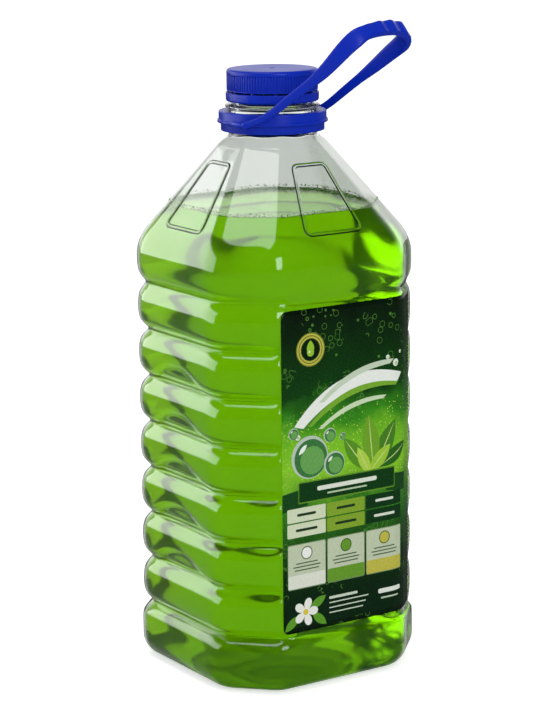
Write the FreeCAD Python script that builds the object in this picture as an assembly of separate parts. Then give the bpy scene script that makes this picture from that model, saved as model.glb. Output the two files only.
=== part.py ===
"""A five litre laundry detergent bottle, square with cut corners, ribbed for grip.

A clear blow moulded bottle holds a green liquid under a foam liner and a ribbed
screw cap. A tamper band stays on the neck. Below the neck's support ring
a loose collar turns on the neck and carries a swinging loop strap. A film label
covers the plain front panel and wraps round the front right corner.

Frame: millimetres, +Z up, origin on the neck's axis at the level of the foot.
The label faces -Y. The strap leans out over the front right corner.
"""
import FreeCAD, Part
import math
import os

V = FreeCAD.Vector

# Driving sizes of the blown body
HALF_WIDTH = 70.2          # axis to a rib crest on a flat side
CORNER_LEG = 27.6          # leg of each cut corner
CORNER_ROUND = 21.0        # plan rounding between neighbouring sides
WALL = 0.8                 # blown wall
FOOT_ROUND = 13.0          # rounding under the foot
FOOT_SWELL = 0.8           # the foot stands proud of the ribs
PUSH_UP = 7.0              # height of the dished base
PUSH_UP_RADIUS = 48.0      # rim radius of the dish
PUSH_UP_CROWN = 0.4        # flat middle of the dish, as a share of its rim
DISH_SIDES = 16
SHOULDER_Z = 255.0         # where wall and shoulder facets would meet
SHOULDER_BLEND = 9.0       # half height of the rounding there
SHOULDER_TOP_Z = 317.5     # facets end at the neck
ROOT_ROUND = 6.0           # plan rounding of the facets at the neck

# Grooves between the ribs
GROOVE_COUNT = 8
GROOVE_TOP_Z = 229.4
GROOVE_PITCH = 28.0
GROOVE_WIDTH = 11.6        # at the rib crests
GROOVE_DEPTH = 4.0
TOP_GROOVE_DEPTH = 3.0     # the first groove, which runs all round
PANEL_RECESS = 0.7         # label panel below the rib crests

# Finger arches above the lower grooves, on both flat sides
ARCH_FIRST = 2
ARCH_LAST = 6
ARCH_HALF_WIDTH = 33.0
ARCH_RISE = 14.0
ARCH_DEPTH = 2.2
ARCH_CHORDS = 6            # flats that round each arch

# Raised frames on the left and front shoulder facets
FRAME_LOW_Z = 264.5
FRAME_HIGH_Z = 303.0
FRAME_LOW_WIDTH = 41.0
FRAME_HIGH_WIDTH = 24.0
FRAME_BAR = 2.6
FRAME_PROUD = 0.9
FRAME_ROUND = 5.0

# Neck
NECK_RADIUS = 25.2
NECK_BORE_RADIUS = 21.5
FINISH_RADIUS = 23.9       # thread root
RING_RADIUS = 27.6         # support ring
RING_Z = 332.0
RING_HEIGHT = 1.7
LOCK_BEAD_RADIUS = 25.0
LOCK_BEAD_Z = 342.0
LOCK_BEAD_HEIGHT = 1.4
NECK_TOP_Z = 351.6
BORE_LOW_Z = 312.0

# Contents
LIQUID_LEVEL_Z = 276.0

# Label film
LABEL_FILM = 0.15
LABEL_LEFT_X = -42.0
LABEL_WRAP = 14.0          # length on the cut corner
LABEL_LOW_Z = 36.0
LABEL_HIGH_Z = 226.0
LABEL_ROUND = 4.0

# Tamper band
BAND_RADIUS = 27.1
BAND_BORE_RADIUS = 24.2
BAND_LOW_Z = 335.6
BAND_HEIGHT = 5.1
BRIDGE_COUNT = 12
BRIDGE_HEIGHT = 1.0
BRIDGE_WIDTH = 1.6
BRIDGE_DEEP = 0.9
BRIDGE_SUNK = 0.5          # foot of each bridge inside the band

# Cap and liner
CAP_RADIUS = 26.6
CAP_BORE_RADIUS = 25.3
CAP_TOP = 1.6
CAP_ROUND = 1.2            # slanted edge round the top
GATE_RADIUS = 1.2          # dimple left by the mould's gate
GATE_DEEP = 0.4
RIB_COUNT = 78
RIB_DEPTH = 0.5
RIB_SUNK = 0.05            # rib tips lie this far under the skirt's plain bands
RIB_TOP_MARGIN = 3.0
LINER_THICK = 1.0
LINER_RADIUS = 24.4

# Carrying collar
COLLAR_LOW_Z = 318.6
COLLAR_HIGH_Z = 330.0
COLLAR_CLEAR = 0.4
COLLAR_TOP_RADIUS = 31.4
COLLAR_BEAD_RADIUS = 32.2
COLLAR_LOW_RADIUS = 30.2
COLLAR_BEAD_LOW_Z = 323.2
COLLAR_BEAD_HEIGHT = 2.0
ROOT_SWEEP_DEG = 35.0      # length of the strap root on the collar
ROOT_SUNK = 0.6            # root reaches this far into the collar
ROOT_TIP = 0.3             # and stands this proud of it at its thin end
ROOT_BELLY = 0.6           # share of its full depth at half its sweep

# Strap
STRAP_HEADING_DEG = -61.0  # plan direction in which the loop leans
HINGE_Z = 324.2
HINGE_GAP = 0.3
KNUCKLE_RADIUS = 2.2
STRAP_THICK = 2.4
STRAP_ROOT_WIDTH = 3.8
STRAP_MID_WIDTH = 5.6
STRAP_FLARE_WIDTH = 10.5
STRAP_GRIP_WIDTH = 8.5
STRAP_GRIP_THICK = 4.4
STRAP_SLOPE_DEG = 38.0
GRIP_HALF = 21.0
GRIP_BUMPS = 4
GRIP_BUMP = 1.3
STRAP_EDGE = 0.28          # cut corners of the section, as a share of its lesser side
STRAP_MID_SHARE = 0.5      # share of a leg, from its root, over which it widens slowly
STRAP_SWELL_SHARE = 0.7    # share of a leg after which it thickens to the grip
STRAP_STATIONS = 34
strap_across = COLLAR_BEAD_RADIUS + 2 * HINGE_GAP + STRAP_THICK / 2
knuckle_clear = KNUCKLE_RADIUS + HINGE_GAP

# Points of the loop's centre line: out along the heading, across it, above the hinge
STRAP_POINTS = (
    (0, -strap_across, 0), (14, -strap_across, 5.8), (26, 0.3 - strap_across, 14.4),
    (38, 1.0 - strap_across, 23.2), (50, 2.0 - strap_across, 33.0), (61, 4.5 - strap_across, 45.0),
    (67.9, -23.8, 52.3), (72.0, -12, 54.8), (74.5, 0, 54.9), (76.0, 12, 53.0), (73.9, 23, 47.5),
    (63, strap_across - 4.5, 39.3), (51, strap_across - 2.0, 30.3), (39, strap_across - 1.0, 21.3),
    (26, strap_across - 0.3, 11.3), (14, strap_across, 3.3), (0, strap_across, 0),
)

SIDE_COUNT = 8
FOOT_STEPS = 3
SHOULDER_STEPS = 2
CORNER_CHORDS = 2          # flats that round each plan corner of the body
SIDE_TURN = math.pi / 4
FRONT_SIDES = (6, 7)       # the label panel: front and front right
RIGHT_ANGLE_BEND = 2 - math.sqrt(2)   # how far an arc's middle lies from a square corner
groove_heights = [GROOVE_TOP_Z - GROOVE_PITCH * i for i in range(GROOVE_COUNT)]


def between(low, high, share):
    """Value a share of the way from low to high."""
    return low + (high - low) * share


def section(z, half, leg, rounding, rib_inset, panel_inset):
    """Closed eight sided outline at one height, each corner rounded in a few chords."""
    corner_distance = math.sqrt(2) * half - leg / math.sqrt(2)
    normals = []
    offsets = []
    for side in range(SIDE_COUNT):
        angle = side * SIDE_TURN
        normals.append(V(math.cos(angle), math.sin(angle), 0))
        reach = half if side % 2 == 0 else corner_distance
        inset = panel_inset if side in FRONT_SIDES else rib_inset
        offsets.append(reach - inset)
    points = []
    for side in range(SIDE_COUNT):
        after = (side + 1) % SIDE_COUNT
        first, second = normals[side], normals[after]
        along = V(-first.y, first.x, 0)
        run = (offsets[after] - offsets[side] * first.dot(second)) / along.dot(second)
        corner = first * offsets[side] + along * run + V(0, 0, z)
        bisector = (first + second).normalize()
        centre = corner - bisector * (rounding / math.cos(SIDE_TURN / 2))
        for step in range(CORNER_CHORDS + 1):
            angle = SIDE_TURN * (side + step / CORNER_CHORDS)
            points.append(centre + V(math.cos(angle), math.sin(angle), 0) * rounding)
    return points


def flat_face(points):
    """Flat face inside a closed run of points."""
    return Part.Face(Part.makePolygon(points + points[:1]))


def skin(outlines):
    """Solid with flat facets between neighbouring outlines and a flat face at each end."""
    faces = [flat_face(outlines[0]), flat_face(outlines[-1])]
    count = len(outlines[0])
    for low, high in zip(outlines, outlines[1:]):
        for number in range(count):
            after = (number + 1) % count
            faces.append(flat_face([low[number], low[after], high[after], high[number]]))
    shell = Part.makeShell(faces)
    shell.sewShape()
    solid = Part.makeSolid(Part.Shell(shell.Faces))
    if solid.Volume < 0:
        solid.reverse()
    return solid.removeSplitter()


def shoulder_share(z):
    """How far the facets have run in towards the neck, with a soft start."""
    length = SHOULDER_TOP_Z - SHOULDER_Z
    low = SHOULDER_Z - SHOULDER_BLEND
    high = SHOULDER_Z + SHOULDER_BLEND
    if z <= low:
        return 0.0
    if z >= high:
        return (z - SHOULDER_Z) / length
    return (z - low) ** 2 / (4 * SHOULDER_BLEND * length)


def body_levels():
    """Heights with the inset of ribbed sides and of the label panel."""
    levels = []
    for step in range(FOOT_STEPS + 1):
        angle = step * math.pi / 2 / FOOT_STEPS
        inset = FOOT_ROUND * (1 - math.sin(angle)) - FOOT_SWELL
        levels.append((FOOT_ROUND * (1 - math.cos(angle)), inset, inset))
    half = GROOVE_WIDTH / 2
    for number in reversed(range(GROOVE_COUNT)):
        z = groove_heights[number]
        is_top = number == 0
        is_last = number == GROOVE_COUNT - 1
        depth = TOP_GROOVE_DEPTH if is_top else GROOVE_DEPTH
        below = -FOOT_SWELL if is_last else 0.0
        low_panel = -FOOT_SWELL if is_last else PANEL_RECESS
        high_panel = 0.0 if is_top else PANEL_RECESS
        floor_panel = depth if is_top else PANEL_RECESS
        levels.append((z - half, below, low_panel))
        levels.append((z, depth, floor_panel))
        levels.append((z + half, 0.0, high_panel))
    for step in range(SHOULDER_STEPS + 1):
        z = between(SHOULDER_Z - SHOULDER_BLEND, SHOULDER_Z + SHOULDER_BLEND, step / SHOULDER_STEPS)
        levels.append((z, 0.0, 0.0))
    levels.append((SHOULDER_TOP_Z, 0.0, 0.0))
    return levels


def body_form(inset):
    """Solid outer form of the body, or the cavity when inset by the wall."""
    outlines = []
    inner_leg = CORNER_LEG - inset * RIGHT_ANGLE_BEND
    root_half = NECK_RADIUS - inset
    root_leg = root_half * RIGHT_ANGLE_BEND
    for z, rib_inset, panel_inset in body_levels():
        share = shoulder_share(z)
        half = between(HALF_WIDTH - inset, root_half, share)
        leg = between(inner_leg, root_leg, share)
        rounding = between(CORNER_ROUND - inset, ROOT_ROUND - inset, share)
        height = max(z, inset) if z < FOOT_ROUND else z
        if z == 0.0:
            height = inset
        outlines.append(section(height, half, leg, rounding, rib_inset, panel_inset))
    form = skin(outlines)
    for number in range(ARCH_FIRST, ARCH_LAST + 1):
        for side in (-1, 1):
            form = form.cut(finger_arch(groove_heights[number], side, inset))
    return form.cut(base_dish(inset))


def finger_arch(z, side, inset):
    """Arched cutter above one groove on a flat side."""
    half = ARCH_HALF_WIDTH + inset
    rise = ARCH_RISE + 2 * inset
    depth = ARCH_DEPTH + inset
    radius = (half ** 2 + rise ** 2) / (2 * rise)
    opening = math.asin(half / radius)
    middle = z - inset + rise - radius
    x = side * (HALF_WIDTH - depth)
    points = []
    for step in range(ARCH_CHORDS + 1):
        angle = opening * (2 * step / ARCH_CHORDS - 1)
        points.append(V(x, radius * math.sin(angle), middle + radius * math.cos(angle)))
    return flat_face(points).extrude(V(side * 2 * depth, 0, 0))


def base_dish(inset):
    """Low many sided frustum that dishes the base upwards."""
    outlines = []
    for radius, z in ((PUSH_UP_RADIUS, 0.0), (PUSH_UP_RADIUS * PUSH_UP_CROWN, PUSH_UP)):
        outline = []
        for number in range(DISH_SIDES):
            angle = 2 * math.pi * number / DISH_SIDES
            reach = radius + inset
            outline.append(V(reach * math.cos(angle), reach * math.sin(angle), z + inset))
        outlines.append(outline)
    return skin(outlines)


def ring(outer, inner, low, high):
    """Plain ring about the neck's axis."""
    height = high - low
    return Part.makeCylinder(outer, height, V(0, 0, low)).cut(Part.makeCylinder(inner, height, V(0, 0, low)))


def turned(points):
    """Solid turned about the neck's axis from radius and height pairs."""
    return flat_face([V(r, 0, z) for r, z in points]).revolve(V(0, 0, 0), V(0, 0, 1), 360)


def facet_point(side_angle, across, z, proud):
    """Point on a shoulder facet, lifted along the facet's normal."""
    outward = V(math.cos(side_angle), math.sin(side_angle), 0)
    along = V(-outward.y, outward.x, 0)
    run = HALF_WIDTH - NECK_RADIUS
    rise = SHOULDER_TOP_Z - SHOULDER_Z
    length = math.hypot(run, rise)
    reach = HALF_WIDTH - run * (z - SHOULDER_Z) / rise
    normal = outward * (rise / length) + V(0, 0, run / length)
    return outward * reach + along * across + V(0, 0, z) + normal * proud


def facet_outline(side_angle, margin, proud):
    """Rounded trapezium on a facet, drawn in by a margin."""
    low = FRAME_LOW_Z + margin
    high = FRAME_HIGH_Z - margin
    low_half = FRAME_LOW_WIDTH / 2 - margin
    high_half = FRAME_HIGH_WIDTH / 2 - margin
    rounding = FRAME_ROUND - margin
    corners = []
    for across, z in ((-low_half, low), (low_half, low), (high_half, high), (-high_half, high)):
        corners.append(facet_point(side_angle, across, z, proud))
    edges = []
    for number in range(4):
        before, here, after = corners[number - 1], corners[number], corners[(number + 1) % 4]
        start = here + (before - here).normalize() * rounding
        end = here + (after - here).normalize() * rounding
        bend = here + ((start + end) * 0.5 - here) * RIGHT_ANGLE_BEND
        nearest = corners[(number + 1) % 4] + (here - after).normalize() * rounding
        edges.append(Part.Arc(start, bend, end).toShape())
        edges.append(Part.LineSegment(end, nearest).toShape())
    return Part.Wire(edges)


def shoulder_frame(side_angle):
    """Raised frame bead on one shoulder facet."""
    depth = WALL / 2
    outer = facet_outline(side_angle, 0.0, -depth)
    inner = facet_outline(side_angle, FRAME_BAR, -depth)
    normal = facet_point(side_angle, 0, SHOULDER_Z, 1.0) - facet_point(side_angle, 0, SHOULDER_Z, 0.0)
    lift = normal * (FRAME_PROUD + depth)
    return Part.Face(outer).extrude(lift).cut(Part.Face(inner).extrude(lift))


def bottle():
    """Blown body and injection moulded neck, one piece."""
    outer = body_form(0.0)
    neck = turned([
        (0, SHOULDER_TOP_Z - 2), (NECK_RADIUS, SHOULDER_TOP_Z - 2), (NECK_RADIUS, RING_Z),
        (RING_RADIUS, RING_Z + RING_HEIGHT / 2), (FINISH_RADIUS, RING_Z + RING_HEIGHT),
        (FINISH_RADIUS, LOCK_BEAD_Z - LOCK_BEAD_HEIGHT / 2), (LOCK_BEAD_RADIUS, LOCK_BEAD_Z),
        (FINISH_RADIUS, LOCK_BEAD_Z + LOCK_BEAD_HEIGHT / 2), (FINISH_RADIUS, NECK_TOP_Z), (0, NECK_TOP_Z),
    ])
    solid = outer.fuse(neck)
    for side_angle in (-math.pi / 2, math.pi):
        solid = solid.fuse(shoulder_frame(side_angle))
    bore = Part.makeCylinder(NECK_BORE_RADIUS, NECK_TOP_Z - BORE_LOW_Z, V(0, 0, BORE_LOW_Z))
    return solid.cut(body_form(WALL)).cut(bore)


def detergent():
    """The liquid, filling the cavity up to its level."""
    reach = 2 * HALF_WIDTH
    tank = Part.makeBox(2 * reach, 2 * reach, LIQUID_LEVEL_Z, V(-reach, -reach, 0))
    return body_form(WALL).common(tank)


def front_label():
    """Film label on the front panel, wrapped round the front right corner."""
    front = HALF_WIDTH - PANEL_RECESS
    corner_distance = math.sqrt(2) * HALF_WIDTH - CORNER_LEG / math.sqrt(2) - PANEL_RECESS
    corner_x = corner_distance * math.sqrt(2) - front
    tangent = CORNER_ROUND * math.tan(SIDE_TURN / 2)
    slant = V(math.cos(SIDE_TURN), math.sin(SIDE_TURN), 0)
    corner = V(corner_x, -front, LABEL_LOW_Z)
    bend_start = corner - V(tangent, 0, 0)
    bend_end = corner + slant * tangent
    centre = bend_start + V(0, CORNER_ROUND, 0)
    half_turn = V(math.sin(SIDE_TURN / 2), -math.cos(SIDE_TURN / 2), 0)
    out_front = V(0, -LABEL_FILM, 0)
    out_corner = V(math.sin(SIDE_TURN), -math.cos(SIDE_TURN), 0) * LABEL_FILM
    left = V(LABEL_LEFT_X, -front, LABEL_LOW_Z)
    right = bend_end + slant * LABEL_WRAP
    inner_bend = Part.Arc(bend_start, centre + half_turn * CORNER_ROUND, bend_end)
    outer_middle = centre + half_turn * (CORNER_ROUND + LABEL_FILM)
    outer_bend = Part.Arc(bend_start + out_front, outer_middle, bend_end + out_corner)
    outline = Part.Wire([
        Part.LineSegment(left, bend_start).toShape(), inner_bend.toShape(),
        Part.LineSegment(bend_end, right).toShape(), Part.LineSegment(right, right + out_corner).toShape(),
        Part.LineSegment(right + out_corner, bend_end + out_corner).toShape(), outer_bend.toShape(),
        Part.LineSegment(bend_start + out_front, left + out_front).toShape(),
        Part.LineSegment(left + out_front, left).toShape(),
    ])
    film = Part.Face(outline).extrude(V(0, 0, LABEL_HIGH_Z - LABEL_LOW_Z))
    short_edges = []
    for edge in film.Edges:
        level = abs(edge.BoundBox.ZLength) < 0.01
        if level and abs(edge.Length - LABEL_FILM) < 0.01:
            short_edges.append(edge)
    return film.makeFillet(LABEL_ROUND, short_edges)


def tamper_band():
    """Band left on the neck, with its tear bridges under the cap."""
    high = BAND_LOW_Z + BAND_HEIGHT
    shape = ring(BAND_RADIUS, BAND_BORE_RADIUS, BAND_LOW_Z, high)
    middle = (CAP_RADIUS - RIB_DEPTH + CAP_BORE_RADIUS) / 2
    for number in range(BRIDGE_COUNT):
        bridge = Part.makeBox(
            BRIDGE_DEEP, BRIDGE_WIDTH, BRIDGE_HEIGHT + BRIDGE_SUNK,
            V(middle - BRIDGE_DEEP / 2, -BRIDGE_WIDTH / 2, high - BRIDGE_SUNK))
        bridge.rotate(V(0, 0, 0), V(0, 0, 1), 360 * number / BRIDGE_COUNT)
        shape = shape.fuse(bridge)
    return shape


def liner():
    """Foam disc that seals the neck's rim."""
    return Part.makeCylinder(LINER_RADIUS, LINER_THICK, V(0, 0, NECK_TOP_Z))


def rib_ring(low, high, core):
    """Toothed ring of the cap's grip ribs round its core."""
    points = []
    for number in range(2 * RIB_COUNT):
        radius = CAP_RADIUS - (RIB_DEPTH if number % 2 else RIB_SUNK)
        angle = math.pi * number / RIB_COUNT
        points.append(V(radius * math.cos(angle), radius * math.sin(angle), low))
    outer = flat_face(points).extrude(V(0, 0, high - low))
    return outer.cut(Part.makeCylinder(core, high - low, V(0, 0, low)))


def cap():
    """Screw cap with a ribbed skirt and a small gate mark on top."""
    low = BAND_LOW_Z + BAND_HEIGHT + BRIDGE_HEIGHT
    inside = NECK_TOP_Z + LINER_THICK
    high = inside + CAP_TOP
    core = (CAP_RADIUS - RIB_DEPTH + CAP_BORE_RADIUS) / 2
    rib_high = high - RIB_TOP_MARGIN
    shell = turned([
        (CAP_BORE_RADIUS, low), (core, low), (core, rib_high), (CAP_RADIUS, rib_high),
        (CAP_RADIUS, high - CAP_ROUND), (CAP_RADIUS - CAP_ROUND, high),
        (GATE_RADIUS, high), (0, high - GATE_DEEP), (0, inside), (CAP_BORE_RADIUS, inside),
    ])
    return shell.fuse(rib_ring(low, rib_high, core))


def heading(along, across, z):
    """Point given along and across the strap's plan direction."""
    angle = math.radians(STRAP_HEADING_DEG)
    forward = V(math.cos(angle), math.sin(angle), 0)
    left = V(-math.sin(angle), math.cos(angle), 0)
    return forward * along + left * across + V(0, 0, z)


def strap_root(side):
    """Root of the strap moulded on the collar, thickening towards the hinge."""
    low = HINGE_Z - STRAP_ROOT_WIDTH / 2
    outer = strap_across + STRAP_THICK / 2
    inner = COLLAR_LOW_RADIUS - ROOT_SUNK
    face = -knuckle_clear
    far = math.radians(90 + ROOT_SWEEP_DEG)
    tip = COLLAR_LOW_RADIUS + ROOT_TIP
    middle_angle = math.radians(90 + ROOT_SWEEP_DEG / 2)
    middle = between(tip, outer, ROOT_BELLY)
    near_out = V(face, outer, low)
    near_in = V(face, inner, low)
    far_out = V(tip * math.cos(far), tip * math.sin(far), low)
    far_in = V(inner * math.cos(far), inner * math.sin(far), low)
    out_middle = V(middle * math.cos(middle_angle), middle * math.sin(middle_angle), low)
    in_middle = V(inner * math.cos(middle_angle), inner * math.sin(middle_angle), low)
    outline = Part.Wire([
        Part.LineSegment(near_in, near_out).toShape(), Part.Arc(near_out, out_middle, far_out).toShape(),
        Part.LineSegment(far_out, far_in).toShape(), Part.Arc(far_in, in_middle, near_in).toShape(),
    ])
    root = Part.Face(outline).extrude(V(0, 0, STRAP_ROOT_WIDTH))
    lug_length = strap_across - STRAP_THICK / 2 - HINGE_GAP - inner
    lug = Part.makeCylinder(KNUCKLE_RADIUS, lug_length, V(0, inner, HINGE_Z), V(0, 1, 0))
    root = root.fuse(lug)
    if side < 0:
        root = root.mirror(V(0, 0, 0), V(0, 1, 0))
    root.rotate(V(0, 0, 0), V(0, 0, 1), STRAP_HEADING_DEG)
    return root


def handle_collar():
    """Two tier collar, loose on the neck, with the roots of the strap."""
    bore = NECK_RADIUS + COLLAR_CLEAR
    bead_high = COLLAR_BEAD_LOW_Z + COLLAR_BEAD_HEIGHT
    shape = turned([
        (bore, COLLAR_LOW_Z), (COLLAR_LOW_RADIUS, COLLAR_LOW_Z), (COLLAR_LOW_RADIUS, COLLAR_BEAD_LOW_Z),
        (COLLAR_BEAD_RADIUS, COLLAR_BEAD_LOW_Z + COLLAR_BEAD_HEIGHT / 2), (COLLAR_TOP_RADIUS, bead_high),
        (COLLAR_TOP_RADIUS, COLLAR_HIGH_Z), (bore, COLLAR_HIGH_Z),
    ])
    for side in (-1, 1):
        shape = shape.fuse(strap_root(side))
    return shape


def strap_line():
    """Centre line of the loop, from the near root over the grip to the far root."""
    curve = Part.BSplineCurve()
    curve.interpolate([heading(out, across, HINGE_Z + rise) for out, across, rise in STRAP_POINTS])
    return curve


def strap_size(share, middle_distance):
    """Width, thickness and bump height at a share of the loop's half length."""
    if middle_distance < GRIP_HALF:
        wave = abs(math.cos(math.pi * GRIP_BUMPS * (middle_distance + GRIP_HALF) / (2 * GRIP_HALF)))
        fade = min(1.0, 3 * (1 - middle_distance / GRIP_HALF))
        return STRAP_GRIP_WIDTH, STRAP_GRIP_THICK, GRIP_BUMP * wave * fade
    if share < STRAP_MID_SHARE:
        return between(STRAP_ROOT_WIDTH, STRAP_MID_WIDTH, share / STRAP_MID_SHARE), STRAP_THICK, 0.0
    flare = math.sin((share - STRAP_MID_SHARE) / (1 - STRAP_MID_SHARE) * math.pi / 2)
    swell = max(0.0, (share - STRAP_SWELL_SHARE) / (1 - STRAP_SWELL_SHARE))
    width = between(STRAP_MID_WIDTH, STRAP_FLARE_WIDTH, flare)
    return width, between(STRAP_THICK, STRAP_GRIP_THICK, swell), 0.0


def strap_section(point, tangent, width, thick, bump):
    """Flat bar section with cut corners across the loop's line."""
    slope = math.radians(STRAP_SLOPE_DEG)
    upright = heading(-math.sin(slope), 0, math.cos(slope))
    upright = (upright - tangent * upright.dot(tangent)).normalize()
    outward = upright.cross(tangent)
    if outward.dot(point - heading(0, 0, point.z)) < 0:
        outward = outward * -1
    cut = STRAP_EDGE * min(width, thick)
    corners = []
    for wide_side, deep_side in ((-1, -1), (1, -1), (1, 1), (-1, 1)):
        wide = wide_side * width / 2
        deep = deep_side * thick / 2 + (bump if deep_side > 0 else 0.0)
        corners.append((wide - wide_side * cut, deep))
        corners.append((wide, deep - deep_side * cut))
    corners.sort(key=lambda corner: math.atan2(corner[1], corner[0]))
    points = [point + upright * wide + outward * deep for wide, deep in corners]
    return Part.makePolygon(points + points[:1])


def carry_strap():
    """Loop strap with a bumpy grip and a knuckle at each root."""
    curve = strap_line()
    length = curve.length()
    ends = {0: curve.FirstParameter, STRAP_STATIONS: curve.LastParameter}
    wires = []
    for number in range(STRAP_STATIONS + 1):
        distance = length * number / STRAP_STATIONS
        if number in ends:
            parameter = ends[number]
        else:
            parameter = curve.parameterAtDistance(distance, curve.FirstParameter)
        middle_distance = abs(distance - length / 2)
        share = 1 - (middle_distance - GRIP_HALF) / (length / 2 - GRIP_HALF)
        width, thick, bump = strap_size(share, middle_distance)
        tangent = V(*curve.tangent(parameter)[0])
        wires.append(strap_section(curve.value(parameter), tangent, width, thick, bump))
    shape = Part.makeLoft(wires, True, True, False)
    for side in (-1, 1):
        start = heading(0, side * (strap_across - STRAP_THICK / 2), HINGE_Z)
        knuckle = Part.makeCylinder(KNUCKLE_RADIUS, STRAP_THICK, start, heading(0, side, 0))
        shape = shape.fuse(knuckle)
    return shape


def main():
    """Build each piece and write it to its own file."""
    os.makedirs("parts", exist_ok=True)
    for make in (bottle, detergent, front_label, tamper_band, liner, cap, handle_collar, carry_strap):
        shape = make().removeSplitter()
        solid = shape.Solids[0]
        solid.exportStep(os.path.join("parts", make.__name__ + ".step"))
        box = solid.BoundBox
        print(make.__name__, len(shape.Solids), solid.isValid(), round(solid.Volume / 1000, 2), "cm3",
              [round(v, 1) for v in (box.XMin, box.XMax, box.YMin, box.YMax, box.ZMin, box.ZMax)])


main()
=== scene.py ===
"""Studio scene of a five litre laundry detergent bottle with a blue carrying strap.

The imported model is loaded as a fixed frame. Each piece of the bottle is a class
that holds its sizes in millimetres, builds a fine mesh over its own solid and
dresses it in a procedural finish.
"""

import logging
import math
from dataclasses import dataclass
from enum import Enum

import bmesh
import bpy
import numpy as np
from mathutils import Matrix, Vector


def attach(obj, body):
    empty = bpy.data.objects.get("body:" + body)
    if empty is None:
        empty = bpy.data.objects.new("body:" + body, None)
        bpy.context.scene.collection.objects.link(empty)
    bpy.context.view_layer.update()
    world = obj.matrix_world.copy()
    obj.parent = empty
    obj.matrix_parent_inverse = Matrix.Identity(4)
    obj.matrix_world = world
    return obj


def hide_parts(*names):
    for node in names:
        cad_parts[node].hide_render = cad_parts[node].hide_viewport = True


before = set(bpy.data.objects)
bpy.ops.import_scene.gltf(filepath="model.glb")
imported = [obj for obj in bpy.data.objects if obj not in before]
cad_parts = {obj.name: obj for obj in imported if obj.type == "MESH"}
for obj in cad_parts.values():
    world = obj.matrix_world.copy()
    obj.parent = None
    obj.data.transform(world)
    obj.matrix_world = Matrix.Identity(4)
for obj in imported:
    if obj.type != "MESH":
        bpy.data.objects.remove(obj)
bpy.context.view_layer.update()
log = logging.getLogger("detergent_bottle")

MM = 0.001
TURN = 2 * math.pi
SIDE_TURN = math.pi / 4


class Body(Enum):
    """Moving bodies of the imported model."""

    BOTTLE = "bottle_body"
    LINER = "liner_body"
    CAP = "cap_body"
    COLLAR = "collar_body"
    STRAP = "strap_body"


class Slot(Enum):
    """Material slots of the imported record."""

    SHELL = "clear_shell"
    LIQUID = "green_liquid"
    LABEL = "label_film"
    BLUE = "blue_plastic"
    FOAM = "foam_liner"


# Meshes


def mesh_object(name: str, points: np.ndarray, faces: list, smooth: bool = True) -> bpy.types.Object:
    """Make a mesh object at the origin from points in millimetres.

    Args:
        name: Name of the object.
        points: One row of x, y, z for each point.
        faces: Point numbers of each face.
        smooth: Whether the faces are shaded smooth.

    Returns:
        The new object, linked to the scene.
    """
    mesh = bpy.data.meshes.new(name)
    mesh.from_pydata((np.asarray(points) * MM).tolist(), [], faces)
    mesh.validate()
    mesh.polygons.foreach_set("use_smooth", [smooth] * len(mesh.polygons))
    mesh.update()
    made = bpy.data.objects.new(name, mesh)
    bpy.context.scene.collection.objects.link(made)
    return made


def grid_faces(rings: int, around: int, closed_rings: bool = False) -> list:
    """Four sided faces between neighbouring rings of points.

    Args:
        rings: Number of rings.
        around: Points in each ring.
        closed_rings: Whether the last ring joins the first.

    Returns:
        The point numbers of each face.
    """
    faces = []
    for ring in range(rings if closed_rings else rings - 1):
        after = (ring + 1) % rings
        for place in range(around):
            beside = (place + 1) % around
            faces.append((ring * around + place, ring * around + beside,
                          after * around + beside, after * around + place))
    return faces


def capped_rings(name: str, rings: list, low_pole: tuple, high_pole: tuple) -> bpy.types.Object:
    """Make a closed skin through rings of points with a pole at each end.

    Args:
        name: Name of the object.
        rings: Arrays of points, one for each ring, counter-clockwise from above.
        low_pole: Point that closes the first ring.
        high_pole: Point that closes the last ring.

    Returns:
        The new object.
    """
    around = len(rings[0])
    points = np.vstack(rings + [np.array([low_pole]), np.array([high_pole])])
    faces = grid_faces(len(rings), around)
    low, high = len(rings) * around, len(rings) * around + 1
    last = (len(rings) - 1) * around
    for place in range(around):
        beside = (place + 1) % around
        faces.append((low, beside, place))
        faces.append((high, last + place, last + beside))
    return mesh_object(name, points, faces)


def rounded_profile(corners: list, steps: int = 4) -> list:
    """Round the corners of a closed outline.

    Args:
        corners: Radius, height and rounding of each corner.
        steps: Segments in each rounding.

    Returns:
        Radius and height of each point of the rounded outline.
    """
    outline = []
    count = len(corners)
    for number in range(count):
        here = np.array(corners[number][:2])
        before = np.array(corners[number - 1][:2]) - here
        after = np.array(corners[(number + 1) % count][:2]) - here
        rounding = corners[number][2]
        if rounding <= 0:
            outline.append(tuple(here))
            continue
        before /= np.linalg.norm(before)
        after /= np.linalg.norm(after)
        half = math.acos(float(np.clip(before @ after, -1, 1))) / 2
        reach = rounding / math.tan(half)
        start, end = here + before * reach, here + after * reach
        for step in range(steps + 1):
            share = step / steps
            low = start * (1 - share) + here * share
            high = here * (1 - share) + end * share
            outline.append(tuple(low * (1 - share) + high * share))
    return outline


def lathe(name: str, outline: list, around: int = 160) -> bpy.types.Object:
    """Turn a closed outline of radius and height pairs about the neck's axis.

    Args:
        name: Name of the object.
        outline: Radius and height pairs, clockwise round the section.
        around: Segments round the axis.

    Returns:
        The new object.
    """
    angles = np.arange(around) * TURN / around
    rings = []
    for radius, height in outline:
        rings.append(np.c_[radius * np.cos(angles), radius * np.sin(angles), np.full(around, height)])
    return mesh_object(name, np.vstack(rings), grid_faces(len(rings), around, closed_rings=True))


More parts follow.
